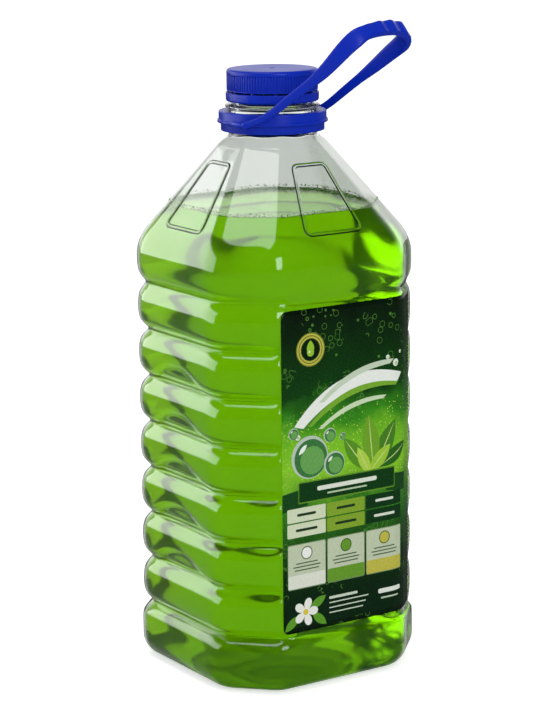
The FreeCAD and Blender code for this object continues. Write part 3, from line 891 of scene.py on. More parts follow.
class PrintPainter(Nodes):
    """Paints simple shapes over each other on the label's print coordinates."""

    def __init__(self, tree: bpy.types.NodeTree) -> None:
        """Start with the print coordinates and an empty sheet."""
        super().__init__(tree)
        self.place = self.add("ShaderNodeUVMap", uv_map="print").outputs[0]
        self.height = self.add("ShaderNodeSeparateXYZ", {0: self.place}).outputs[1]
        self.colour = None

    def vector(self, operation: str, first, second=(0.0, 0.0, 0.0)) -> bpy.types.NodeSocket:
        """Add a vector math node and return its vector."""
        return self.add("ShaderNodeVectorMath", {0: first, 1: second}, operation=operation).outputs[0]

    def length(self, first) -> bpy.types.NodeSocket:
        """Length of a vector."""
        return self.add("ShaderNodeVectorMath", {0: first}, operation="LENGTH").outputs["Value"]

    def local(self, x: float, y: float, turn: float = 0.0) -> bpy.types.NodeSocket:
        """Print coordinates about a point, turned by an angle in degrees."""
        moved = self.vector("SUBTRACT", self.place, (x, y, 0.0))
        if turn == 0.0:
            return moved
        return self.add("ShaderNodeVectorRotate", {"Vector": moved, "Angle": -math.radians(turn)},
                        rotation_type="Z_AXIS").outputs[0]

    def disc(self, x: float, y: float, radius: float) -> bpy.types.NodeSocket:
        """Mask of a disc."""
        return self.math("LESS_THAN", self.length(self.local(x, y)), radius)

    def hoop(self, x: float, y: float, radius: float, width: float) -> bpy.types.NodeSocket:
        """Mask of a ring of a given width."""
        away = self.math("ABSOLUTE", self.math("SUBTRACT", self.length(self.local(x, y)), radius))
        return self.math("LESS_THAN", away, width / 2)

    def box(self, x: float, y: float, width: float, height: float, rounding: float = 0.012,
            turn: float = 0.0) -> bpy.types.NodeSocket:
        """Mask of a box with round corners."""
        size = (width / 2 - rounding, height / 2 - rounding, 1.0)
        out = self.vector("MAXIMUM", self.vector("SUBTRACT", self.vector("ABSOLUTE", self.local(x, y, turn)), size))
        return self.math("LESS_THAN", self.length(out), rounding)

    def leaf(self, x: float, y: float, length: float, width: float, turn: float) -> bpy.types.NodeSocket:
        """Mask of a leaf pointed at both ends."""
        parts = self.add("ShaderNodeSeparateXYZ", {0: self.local(x, y, turn)}).outputs
        along = self.math("POWER", self.math("MULTIPLY", self.math("ABSOLUTE", parts[0]), 2 / length), 2.0)
        half = self.math("MULTIPLY", self.math("SUBTRACT", 1.0, along), width / 2)
        return self.math("LESS_THAN", self.math("ABSOLUTE", parts[1]), half)

    def flower(self, x: float, y: float, radius: float, petals: int) -> bpy.types.NodeSocket:
        """Mask of a flower with round petals."""
        here = self.local(x, y)
        parts = self.add("ShaderNodeSeparateXYZ", {0: here}).outputs
        angle = self.math("MULTIPLY", self.math("ARCTAN2", parts[1], parts[0]), petals / 2)
        swing = self.math("ABSOLUTE", self.math("COSINE", angle))
        reach = self.math("MULTIPLY", self.math("ADD", self.math("POWER", swing, 0.6), 0.25), radius / 1.25)
        return self.math("LESS_THAN", self.length(here), reach)

    def over(self, mask, colour) -> None:
        """Lay a colour over the sheet where a mask is one."""
        self.colour = self.mix(mask, self.colour, colour)


@dataclass(frozen=True)
class LabelPrint:
    """Glossy printed film: leaves, foam and fields of green, with no lettering."""

    name: str = "label_print"
    tall: float = 1.89
    seal: tuple = (0.20, 1.655)
    crest: tuple = (0.47, 1.33)
    deep: tuple = (2, 34, 9)
    lime: tuple = (150, 196, 44)
    pale: tuple = (214, 224, 192)
    gold: tuple = (196, 190, 72)

    def build(self) -> bpy.types.Material:
        """Build the material and return it."""
        material = bpy.data.materials.new(self.name)
        material.use_nodes = True
        sheet = PrintPainter(material.node_tree)
        self.field(sheet)
        self.foam(sheet)
        self.seal_ring(sheet)
        self.leaves(sheet)
        self.ribbon(sheet)
        self.tables(sheet)
        self.footer(sheet)
        grain = sheet.add("ShaderNodeTexNoise", {"Vector": sheet.place, "Scale": 60.0})
        bump = sheet.add("ShaderNodeBump", {"Strength": 0.05, "Distance": 0.0003, "Height": grain.outputs[0]})
        rough = sheet.math("MULTIPLY_ADD", grain.outputs[0], 0.1)
        rough.node.inputs[2].default_value = 0.22
        shader = sheet.add("ShaderNodeBsdfPrincipled", {
            "Base Color": sheet.colour, "Roughness": rough, "IOR": 1.45, "Normal": bump.outputs[0]})
        sheet.add("ShaderNodeOutputMaterial", {"Surface": shader.outputs[0]})
        return material

    def field(self, sheet: PrintPainter) -> None:
        """Paint the green field with its glow, small bubbles and sparks."""
        cloud = sheet.add("ShaderNodeTexNoise", {"Vector": sheet.place, "Scale": 4.5, "Detail": 4.0}).outputs[0]
        rise = sheet.math("DIVIDE", sheet.height, self.tall)
        shifted = sheet.math("ADD", rise, sheet.math("MULTIPLY", sheet.math("SUBTRACT", cloud, 0.5), 0.16))
        sheet.colour = sheet.ramp(shifted, [
            (0.0, paint(2, 30, 8)), (0.2, paint(4, 48, 12)), (0.38, paint(46, 124, 18)), (0.50, paint(136, 206, 32)),
            (0.58, paint(120, 196, 26)), (0.65, paint(52, 142, 14)), (0.74, paint(6, 66, 8)), (1.0, paint(1, 22, 4))])
        cells = sheet.add("ShaderNodeTexVoronoi", {"Vector": sheet.place, "Scale": 19.0})
        rim = sheet.math("ABSOLUTE", sheet.math("SUBTRACT", cells.outputs["Distance"], 0.34))
        patch = sheet.add("ShaderNodeTexNoise", {"Vector": sheet.place, "Scale": 3.1}).outputs[0]
        bubbles = sheet.math("MULTIPLY", sheet.math("LESS_THAN", rim, 0.03), sheet.math("GREATER_THAN", patch, 0.52))
        sheet.over(sheet.math("MULTIPLY", bubbles, 0.35), paint(120, 190, 70))
        sparks = sheet.add("ShaderNodeTexVoronoi", {"Vector": sheet.place, "Scale": 46.0}).outputs["Distance"]
        glow = sheet.math("LESS_THAN", sheet.math("ABSOLUTE", sheet.math("SUBTRACT", rise, 0.56)), 0.13)
        sheet.over(sheet.math("MULTIPLY", sheet.math("LESS_THAN", sparks, 0.16), glow), paint(206, 236, 96))

    def foam(self, sheet: PrintPainter) -> None:
        """Paint the white wave with its green shadows, and the drops that leave its tip."""
        x, y = self.crest
        for dx, dy, length, width, turn, hollow, colour in (
                (0.00, -0.030, 0.74, 0.250, 16, 0.060, (70, 140, 34)), (0.00, 0.000, 0.80, 0.270, 16, 0.085, (238, 243, 236)),
                (0.03, -0.030, 0.66, 0.180, 16, 0.035, (120, 176, 44)), (0.05, 0.105, 0.56, 0.120, 20, 0.035, (200, 216, 190)),
                (0.02, -0.075, 0.50, 0.100, 16, 0.028, (206, 226, 186))):
            whole = sheet.leaf(x + dx, y + dy, length, width, turn)
            cut = sheet.leaf(x + dx + 0.25 * hollow, y + dy - hollow, 1.1 * length, width, turn)
            sheet.over(sheet.math("MULTIPLY", whole, sheet.math("SUBTRACT", 1.0, cut)), paint(*colour))
        for dx, dy, radius in ((0.33, 0.175, 0.022), (0.27, 0.215, 0.013), (0.37, 0.235, 0.010), (-0.36, -0.175, 0.016)):
            sheet.over(sheet.disc(x + dx, y + dy, radius), paint(236, 242, 232))
            sheet.over(sheet.disc(x + dx + 0.2 * radius, y + dy - 0.2 * radius, 0.55 * radius), paint(176, 206, 150))

    def seal_ring(self, sheet: PrintPainter) -> None:
        """Paint the gold ring seal with a drop in it."""
        x, y = self.seal
        for radius, colour in ((0.098, (120, 130, 40)), (0.092, self.gold), (0.066, (60, 90, 20)), (0.062, self.deep)):
            sheet.over(sheet.disc(x, y, radius), paint(*colour))
        sheet.over(sheet.hoop(x, y, 0.079, 0.006), paint(92, 112, 34))
        sheet.over(sheet.leaf(x, y + 0.008, 0.092, 0.050, 90), paint(*self.lime))
        sheet.over(sheet.disc(x, y - 0.016, 0.024), paint(*self.lime))
        sheet.over(sheet.disc(x - 0.008, y - 0.012, 0.007), paint(230, 240, 200))

    def leaves(self, sheet: PrintPainter) -> None:
        """Paint the spray of leaves and the large drops in the glow."""
        for x, y, length, width, turn, colour in (
                (0.72, 1.03, 0.32, 0.11, 62, (70, 132, 28)), (0.62, 1.05, 0.34, 0.12, 96, (112, 168, 34)),
                (0.79, 0.96, 0.26, 0.09, 28, (40, 106, 24)), (0.51, 1.00, 0.27, 0.10, 128, (88, 150, 30)),
                (0.68, 0.95, 0.22, 0.08, 45, (158, 204, 52)), (0.57, 0.95, 0.20, 0.07, 118, (176, 214, 70))):
            sheet.over(sheet.leaf(x, y, length, width, turn), paint(*colour))
            sheet.over(sheet.leaf(x, y, 0.92 * length, 0.006, turn), paint(206, 230, 140))
        for x, y, radius in ((0.19, 1.03, 0.125), (0.36, 0.97, 0.072), (0.33, 1.14, 0.042), (0.08, 1.18, 0.034),
                             (0.42, 1.12, 0.022)):
            sheet.over(sheet.disc(x, y, radius), paint(188, 204, 190))
            sheet.over(sheet.disc(x + 0.06 * radius, y - 0.06 * radius, 0.90 * radius), paint(58, 122, 62))
            sheet.over(sheet.disc(x + 0.14 * radius, y - 0.16 * radius, 0.66 * radius), paint(104, 168, 84))
            sheet.over(sheet.leaf(x - 0.38 * radius, y + 0.40 * radius, 0.62 * radius, 0.22 * radius, 45),
                       paint(240, 248, 236))

    def ribbon(self, sheet: PrintPainter) -> None:
        """Paint the dark ribbon under the leaves."""
        for x, turn in ((0.08, 8), (0.82, -8)):
            sheet.over(sheet.box(x, 0.790, 0.18, 0.105, 0.004, turn), paint(16, 74, 22))
        sheet.over(sheet.box(0.45, 0.828, 0.68, 0.128, 0.008), paint(96, 150, 36))
        sheet.over(sheet.box(0.45, 0.828, 0.67, 0.112, 0.006), paint(6, 62, 18))
        sheet.over(sheet.box(0.45, 0.838, 0.42, 0.026, 0.012), paint(226, 234, 218))
        sheet.over(sheet.box(0.45, 0.802, 0.28, 0.010, 0.004), paint(186, 206, 170))

    def tables(self, sheet: PrintPainter) -> None:
        """Paint the two rows of cells and the three panels under them."""
        fields = (self.pale, (132, 170, 40), (8, 58, 20))
        for column, colour in enumerate(fields):
            for row in range(2):
                x, y = 0.165 + 0.275 * column, 0.700 - 0.090 * row
                sheet.over(sheet.box(x, y, 0.266, 0.082, 0.008), paint(*colour))
                ink = (30, 60, 30) if column < 2 else (222, 230, 214)
                sheet.over(sheet.box(x, y, 0.13 + 0.02 * row, 0.016, 0.007), paint(*ink))
        for column, spot in enumerate(((244, 244, 238), (104, 158, 40), self.gold)):
            x = 0.165 + 0.275 * column
            sheet.over(sheet.box(x, 0.395, 0.266, 0.270, 0.014), paint(116, 146, 96))
            sheet.over(sheet.box(x, 0.395, 0.258, 0.260, 0.010), paint(196, 208, 178))
            sheet.over(sheet.box(x, 0.305, 0.258, 0.080, 0.010), paint(*(spot if column else (226, 230, 216))))
            sheet.over(sheet.disc(x, 0.470, 0.036), paint(*spot))
            sheet.over(sheet.hoop(x, 0.470, 0.036, 0.006), paint(52, 96, 36))
            for line, width in enumerate((0.15, 0.19, 0.17)):
                sheet.over(sheet.box(x, 0.412 - 0.020 * line, width, 0.007, 0.003), paint(70, 96, 62))

    def footer(self, sheet: PrintPainter) -> None:
        """Paint the dark strip at the foot with its flower."""
        sheet.over(sheet.box(0.53, 0.118, 1.00, 0.175, 0.010), paint(3, 40, 14))
        for x, y, turn in ((0.06, 0.06, 40), (0.25, 0.06, 140), (0.24, 0.16, 30)):
            sheet.over(sheet.leaf(x, y, 0.13, 0.052, turn), paint(92, 158, 36))
        sheet.over(sheet.flower(0.155, 0.115, 0.085, 5), paint(240, 242, 234))
        sheet.over(sheet.disc(0.155, 0.115, 0.018), paint(222, 200, 60))
        for line, width in enumerate((0.20, 0.28, 0.26, 0.24)):
            height = 0.016 if line == 0 else 0.007
            sheet.over(sheet.box(0.32 + width / 2, 0.170 - 0.030 * line, width, height, 0.003), paint(206, 220, 200))
        sheet.over(sheet.box(0.755, 0.145, 0.17, 0.028, 0.010), paint(232, 238, 226))
        sheet.over(sheet.box(0.755, 0.102, 0.13, 0.010, 0.004), paint(190, 208, 180))


@dataclass
class WrapLabel:
    """Printed film on the front panel, wrapped round the front right corner."""

    left_x: float = -42.0
    front_y: float = -69.5
    bend_x: float = 33.6
    bend_radius: float = 21.0
    wrap: float = 14.0
    low_z: float = 36.5
    high_z: float = 225.6
    corner: float = 4.0
    film: float = 0.14
    lift: float = 0.01
    columns: int = 84
    rows: int = 60

    @property
    def straight(self) -> float:
        """Length on the flat front."""
        return self.bend_x - self.left_x

    @property
    def width(self) -> float:
        """Whole length round the bottle."""
        return self.straight + self.bend_radius * SIDE_TURN + self.wrap

    @property
    def height(self) -> float:
        """Height of the film."""
        return self.high_z - self.low_z

    def place(self, along: float, proud: float) -> tuple:
        """Plan position of a point along the film.

        Args:
            along: Distance from the left edge.
            proud: Distance out from the panel.

        Returns:
            The point's x and y.
        """
        if along <= self.straight:
            return self.left_x + along, self.front_y - proud
        bent = along - self.straight
        turn = min(bent / self.bend_radius, SIDE_TURN)
        reach = self.bend_radius + proud
        x = self.bend_x + reach * math.sin(turn)
        y = self.front_y + self.bend_radius - reach * math.cos(turn)
        extra = max(0.0, bent - self.bend_radius * SIDE_TURN)
        return x + extra * math.cos(SIDE_TURN), y + extra * math.sin(SIDE_TURN)

    def trim(self, along: float) -> float:
        """Height cut from the film's ends at a distance along, by its round corners."""
        edge = min(along, self.width - along)
        if edge >= self.corner:
            return 0.0
        return self.corner - math.sqrt(self.corner ** 2 - (self.corner - edge) ** 2)

    def build(self) -> bpy.types.Object:
        """Build the film with its print coordinates in millimetres."""
        corner_steps = np.array([0, 0.05, 0.15, 0.3, 0.5, 0.75, 1.0]) * self.corner
        inner = np.linspace(self.corner, self.width - self.corner, self.columns)[1:-1]
        alongs = list(corner_steps) + list(inner) + list((self.width - corner_steps)[::-1])
        points, faces, prints = [], [], []
        count = len(alongs)
        for proud in (self.lift, self.lift + self.film):
            for row in range(self.rows + 1):
                for along in alongs:
                    cut = self.trim(along)
                    low, high = self.low_z + cut, self.high_z - cut
                    z = low + (high - low) * row / self.rows
                    points.append((*self.place(along, proud), z))
                    prints.append((along / 100, (z - self.low_z) / 100))
        layer = count * (self.rows + 1)
        for row in range(self.rows):
            for column in range(count - 1):
                a = row * count + column
                b, c, d = a + 1, a + count + 1, a + count
                faces.append((d, c, b, a))
                faces.append((layer + a, layer + b, layer + c, layer + d))
        rim = [column for column in range(count)]
        rim += [row * count + count - 1 for row in range(1, self.rows + 1)]
        rim += [self.rows * count + column for column in range(count - 2, -1, -1)]
        rim += [row * count for row in range(self.rows - 1, 0, -1)]
        for number in range(len(rim)):
            a, b = rim[number], rim[(number + 1) % len(rim)]
            faces.append((a, b, layer + b, layer + a))
        piece = mesh_object("printed_label", np.array(points), faces)
        uv = piece.data.uv_layers.new(name="print")
        for loop in piece.data.loops:
            uv.data[loop.index].uv = prints[loop.vertex_index]
        return outward(piece)


@dataclass
class ScrewCap:
    """Ribbed cap, its inner thread and the tamper band under it."""

    radius: float = 26.6
    bore: float = 25.3
    low_z: float = 341.7
    inside_z: float = 352.6
    top: float = 1.6
    rib_count: int = 96
    rib_low: float = 342.3
    rib_high: float = 351.3
    rib_depth: float = 0.5
    band_low: float = 335.6
    band_high: float = 340.7
    band_radius: float = 27.1
    band_bore: float = 24.2
    bridge_count: int = 12

    def crown(self) -> bpy.types.Object:
        """Build the plain cap shell with a soft top edge and the gate's dimple."""
        high = self.inside_z + self.top
        core = self.radius - self.rib_depth
        outline = rounded_profile([
            (self.bore, self.low_z, 0.15), (self.radius, self.low_z, 0.25), (self.radius, self.rib_low, 0.12),
            (core, self.rib_low + 0.35, 0.1), (core, self.rib_high - 0.45, 0.15),
            (self.radius, self.rib_high, 0.15), (self.radius, high - 0.15, 1.7), (self.radius - 3.2, high, 2.0),
            (1.6, high - 0.12, 0.3), (1.1, high - 0.5, 0.2), (0.55, high - 0.5, 0.1), (0.4, high - 0.1, 0.1),
            (0.01, high - 0.05, 0.0), (0.01, self.inside_z, 0.0), (self.bore, self.inside_z, 0.3),
        ], 4)
        return outward(lathe("cap_crown", outline, 192))

    def rib(self) -> bpy.types.Object:
        """Build one grip rib with rounded flanks, standing at the cap's side."""
        width = TURN * self.radius / self.rib_count * 0.62
        core = self.radius - self.rib_depth - 0.1
        crest = self.radius - 0.02
        section = [(core, -0.5), (crest - 0.18, -0.46), (crest - 0.03, -0.28), (crest, 0.0),
                   (crest - 0.03, 0.28), (crest - 0.18, 0.46), (core, 0.5)]
        levels = ((self.rib_low + 0.15, 0.82), (self.rib_low + 0.6, 1.0), (self.rib_high - 0.7, 1.0),
                  (self.rib_high - 0.2, 0.82))
        points = []
        for z, size in levels:
            for x, y in section:
                points.append((core + (x - core) * size, y * width * size, z))
        count = len(section)
        faces = []
        for row in range(len(levels) - 1):
            for place in range(count):
                after = (place + 1) % count
                a, b = row * count + place, row * count + after
                faces.append((a, b, b + count, a + count))
        faces.append(tuple(range(count))[::-1])
        faces.append(tuple(range((len(levels) - 1) * count, len(levels) * count)))
        return mesh_object("cap_rib", np.array(points), faces)

    def cap(self, material: bpy.types.Material) -> bpy.types.Object:
        """Build the cap with its ribs set round it by a node tree."""
        ribs = ring_of_copies("cap_ribs", self.rib(), self.rib_count, material)
        thread = screw_thread("cap_thread", self.bore + 0.05, -0.35, 343.6, 6.0)
        return joined("screw_cap", [self.crown(), ribs, thread])

    def band(self, material: bpy.types.Material) -> bpy.types.Object:
        """Build the tamper band with its tear bridges set round it."""
        outline = rounded_profile([
            (self.band_bore, self.band_low, 0.3), (self.band_radius - 0.5, self.band_low, 0.25),
            (self.band_radius, self.band_low + 0.9, 0.3), (self.band_radius, self.band_high, 0.3),
            (self.band_bore, self.band_high, 0.3),
        ])
        ring = outward(lathe("band_ring", outline, 160))
        middle, half, width = 25.7, 0.38, 0.9
        points = []
        for z, size in ((self.band_high - 0.4, 1.3), (self.band_high + 0.45, 0.8), (self.low_z - 0.01, 1.0)):
            points += [(middle + a * half * size, b * width * size, z) for a, b in ((-1, -1), (1, -1), (1, 1), (-1, 1))]
        faces = grid_faces(3, 4) + [(3, 2, 1, 0), (8, 9, 10, 11)]
        bridge = mesh_object("bridge", np.array(points), faces, smooth=False)
        return joined("tamper_ring", [ring, ring_of_copies("bridges", bridge, self.bridge_count, material)])


    def liner(self) -> bpy.types.Object:
        """Build the foam disc with soft edges and a pressed ring where the rim bears."""
        low, high = self.inside_z - 1.0, self.inside_z
        outline = rounded_profile([
            (0.01, low, 0.0), (20.5, low, 0.2), (21.2, low + 0.12, 0.1), (23.8, low + 0.12, 0.1),
            (24.4, low, 0.15), (24.4, high, 0.15), (0.01, high, 0.0),
        ], 3)
        return outward(lathe("foam_disc", outline, 96))


@dataclass
class CarryHandle:
    """Turning collar on the neck and the loop strap that swings from it."""

    heading: float = -61.0
    hinge_z: float = 324.2
    bore: float = 25.6
    low_z: float = 318.6
    high_z: float = 330.0
    top_radius: float = 31.4
    bead_radius: float = 32.2
    low_radius: float = 30.2
    bead_low: float = 323.2
    hinge_gap: float = 0.3
    knuckle: float = 2.2
    thick: float = 2.4
    root_width: float = 3.8
    mid_width: float = 5.6
    flare_width: float = 10.5
    grip_width: float = 8.5
    grip_thick: float = 4.4
    slope: float = 38.0
    grip_half: float = 21.0
    bumps: int = 4
    bump: float = 1.3
    stations: int = 220
    around: int = 20
    line: tuple = (
        (0, -1.0, 0.0, 0.0), (14, -1.0, 0.0, 5.8), (26, -1.0, 0.3, 14.4), (38, -1.0, 1.0, 23.2),
        (50, -1.0, 2.0, 33.0), (61, -1.0, 4.5, 45.0), (67.9, 0.0, -23.8, 52.3), (72.0, 0.0, -12.0, 54.8),
        (74.5, 0.0, 0.0, 54.9), (76.0, 0.0, 12.0, 53.0), (73.9, 0.0, 23.0, 47.5), (63, 1.0, -4.5, 39.3),
        (51, 1.0, -2.0, 30.3), (39, 1.0, -1.0, 21.3), (26, 1.0, -0.3, 11.3), (14, 1.0, 0.0, 3.3),
        (0, 1.0, 0.0, 0.0),
    )

    @property
    def across(self) -> float:
        """Distance of each leg's middle from the neck's axis."""
        return self.bead_radius + 2 * self.hinge_gap + self.thick / 2

    def world(self, along: float, across: float, z: float) -> np.ndarray:
        """Point given along and across the strap's plan direction."""
        angle = math.radians(self.heading)
        forward = np.array([math.cos(angle), math.sin(angle), 0.0])
        left = np.array([-math.sin(angle), math.cos(angle), 0.0])
        return forward * along + left * across + np.array([0.0, 0.0, z])

    def centre_line(self) -> np.ndarray:
        """Evenly spaced points of the loop's centre line, as a smooth curve through its points."""
        knots = []
        for along, share, extra, rise in self.line:
            knots.append(self.world(along, self.across * share + extra, self.hinge_z + rise))
        knots = np.array(knots)
        spans = np.linalg.norm(np.diff(knots, axis=0), axis=1)
        places = np.concatenate([[0], np.cumsum(spans)])
        slopes = natural_slopes(places, knots)
        fine = np.linspace(0, places[-1], 1200)
        curve = hermite(places, knots, slopes, fine)
        lengths = np.concatenate([[0], np.cumsum(np.linalg.norm(np.diff(curve, axis=0), axis=1))])
        even = np.linspace(0, lengths[-1], self.stations)
        return np.c_[[np.interp(even, lengths, curve[:, axis]) for axis in range(3)]].T

    def size(self, middle: float, half_length: float) -> tuple:
        """Width, thickness and bump of the strap at a distance from its middle."""
        if middle < self.grip_half:
            wave = math.cos(math.pi * self.bumps * (middle + self.grip_half) / (2 * self.grip_half)) ** 2
            edge = min(1.0, 3 * (1 - middle / self.grip_half))
            return self.grip_width, self.grip_thick, self.bump * wave * edge
        share = 1 - (middle - self.grip_half) / (half_length - self.grip_half)
        if share < 0.5:
            return self.root_width + (self.mid_width - self.root_width) * share / 0.5, self.thick, 0.0
        flare = math.sin((share - 0.5) * math.pi)
        width = self.mid_width + (self.flare_width - self.mid_width) * flare
        if share > 0.9:
            width += (self.grip_width - width) * smooth((share - 0.9) / 0.1)
        thick = self.thick + (self.grip_thick - self.thick) * smooth(max(0.0, (share - 0.7) / 0.3))
        return width, thick, 0.0

    def strap(self) -> bpy.types.Object:
        """Build the loop with its bumpy grip and its two knuckles."""
        line = self.centre_line()
        steps = np.linalg.norm(np.diff(line, axis=0), axis=1)
        distances = np.concatenate([[0], np.cumsum(steps)])
        half_length = distances[-1] / 2
        slope = math.radians(self.slope)
        upright = self.world(-math.sin(slope), 0, math.cos(slope))
        rings = []
        for number, point in enumerate(line):
            before, after = line[max(number - 1, 0)], line[min(number + 1, len(line) - 1)]
            tangent = (after - before) / np.linalg.norm(after - before)
            wide = upright - tangent * float(upright @ tangent)
            wide /= np.linalg.norm(wide)
            deep = np.cross(wide, tangent)
            if deep @ (point - self.world(0, 0, point[2])) < 0:
                deep = -deep
            middle = abs(distances[number] - half_length)
            width, thick, bump = self.size(middle, half_length)
            ring = []
            for step in range(self.around):
                angle = TURN * step / self.around
                c, s = math.cos(angle), math.sin(angle)
                a = math.copysign(abs(c) ** 0.45, c) * width / 2
                b = math.copysign(abs(s) ** 0.45, s) * thick / 2
                if s > 0:
                    b += bump * min(1.0, 1.4 * s)
                ring.append(point + wide * a + deep * b)
            rings.append(np.array(ring))
        loop = outward(capped_rings("strap_loop", rings, tuple(line[0]), tuple(line[-1])))
        knuckles = [self.disc("knuckle", side * (self.across - self.thick / 2), side * (self.across + self.thick / 2),
                              self.knuckle) for side in (-1, 1)]
        return joined("loop_strap", [loop] + knuckles)

    def disc(self, name: str, start: float, end: float, radius: float) -> bpy.types.Object:
        """Build a short round barrel across the strap's heading, on the hinge's axis."""
        rings = []
        for place, size in ((0.0, 0.88), (0.08, 1.0), (0.92, 1.0), (1.0, 0.88)):
            across = start + (end - start) * place
            ring = []
            for step in range(32):
                angle = TURN * step / 32
                ring.append(self.world(radius * size * math.cos(angle), across,
                                       self.hinge_z + radius * size * math.sin(angle)))
            rings.append(np.array(ring))
        low, high = self.world(0, start, self.hinge_z), self.world(0, end, self.hinge_z)
        return outward(capped_rings(name, rings, tuple(low), tuple(high)))

    def root(self, side: int) -> bpy.types.Object:
        """Build one moulded root that thickens along the collar towards the hinge."""
        rings = []
        outer = self.across + self.thick / 2
        clear = self.knuckle + self.hinge_gap
        start = math.acos(-clear / outer)
        for step in range(25):
            share = step / 24
            angle = start + (math.radians(90 + 35) - start) * share
            reach = outer - 0.2 + (self.low_radius + 0.3 - outer + 0.2) * smooth(share)
            inner = self.low_radius - 0.4
            half = self.root_width / 2 * (1 - 0.35 * share)
            ring = []
            for corner in range(16):
                turn = TURN * corner / 16
                c, s = math.cos(turn), math.sin(turn)
                radius = (reach + inner) / 2 + math.copysign(abs(c) ** 0.4, c) * (reach - inner) / 2
                z = self.hinge_z + math.copysign(abs(s) ** 0.4, s) * half
                ring.append(self.world(radius * math.cos(angle), side * radius * math.sin(angle), z))
            rings.append(np.array(ring))
        return outward(capped_rings("root", rings, tuple(rings[0].mean(axis=0)), tuple(rings[-1].mean(axis=0))))

    def collar(self) -> bpy.types.Object:
        """Build the two tier collar with its bead, roots and hinge lugs."""
        bead_high = self.bead_low + 2.0
        outline = rounded_profile([
            (self.bore, self.low_z, 0.3), (self.low_radius, self.low_z, 0.5), (self.low_radius, self.bead_low, 0.4),
            (self.bead_radius, self.bead_low + 0.2, 0.5), (self.bead_radius, bead_high - 0.2, 0.5),
            (self.top_radius, bead_high, 0.15), (self.top_radius, self.high_z, 0.6),
            (self.bore + 1.0, self.high_z, 0.3), (self.bore, self.high_z - 1.0, 0.3),
        ])
        pieces = [outward(lathe("collar_ring", outline, 192))]
        for side in (-1, 1):
            pieces.append(self.root(side))
            inner = self.low_radius - 0.6
            lug_end = self.across - self.thick / 2 - self.hinge_gap
            pieces.append(self.disc("lug", side * inner, side * lug_end, self.knuckle))
        return joined("neck_collar", pieces)


# The stage


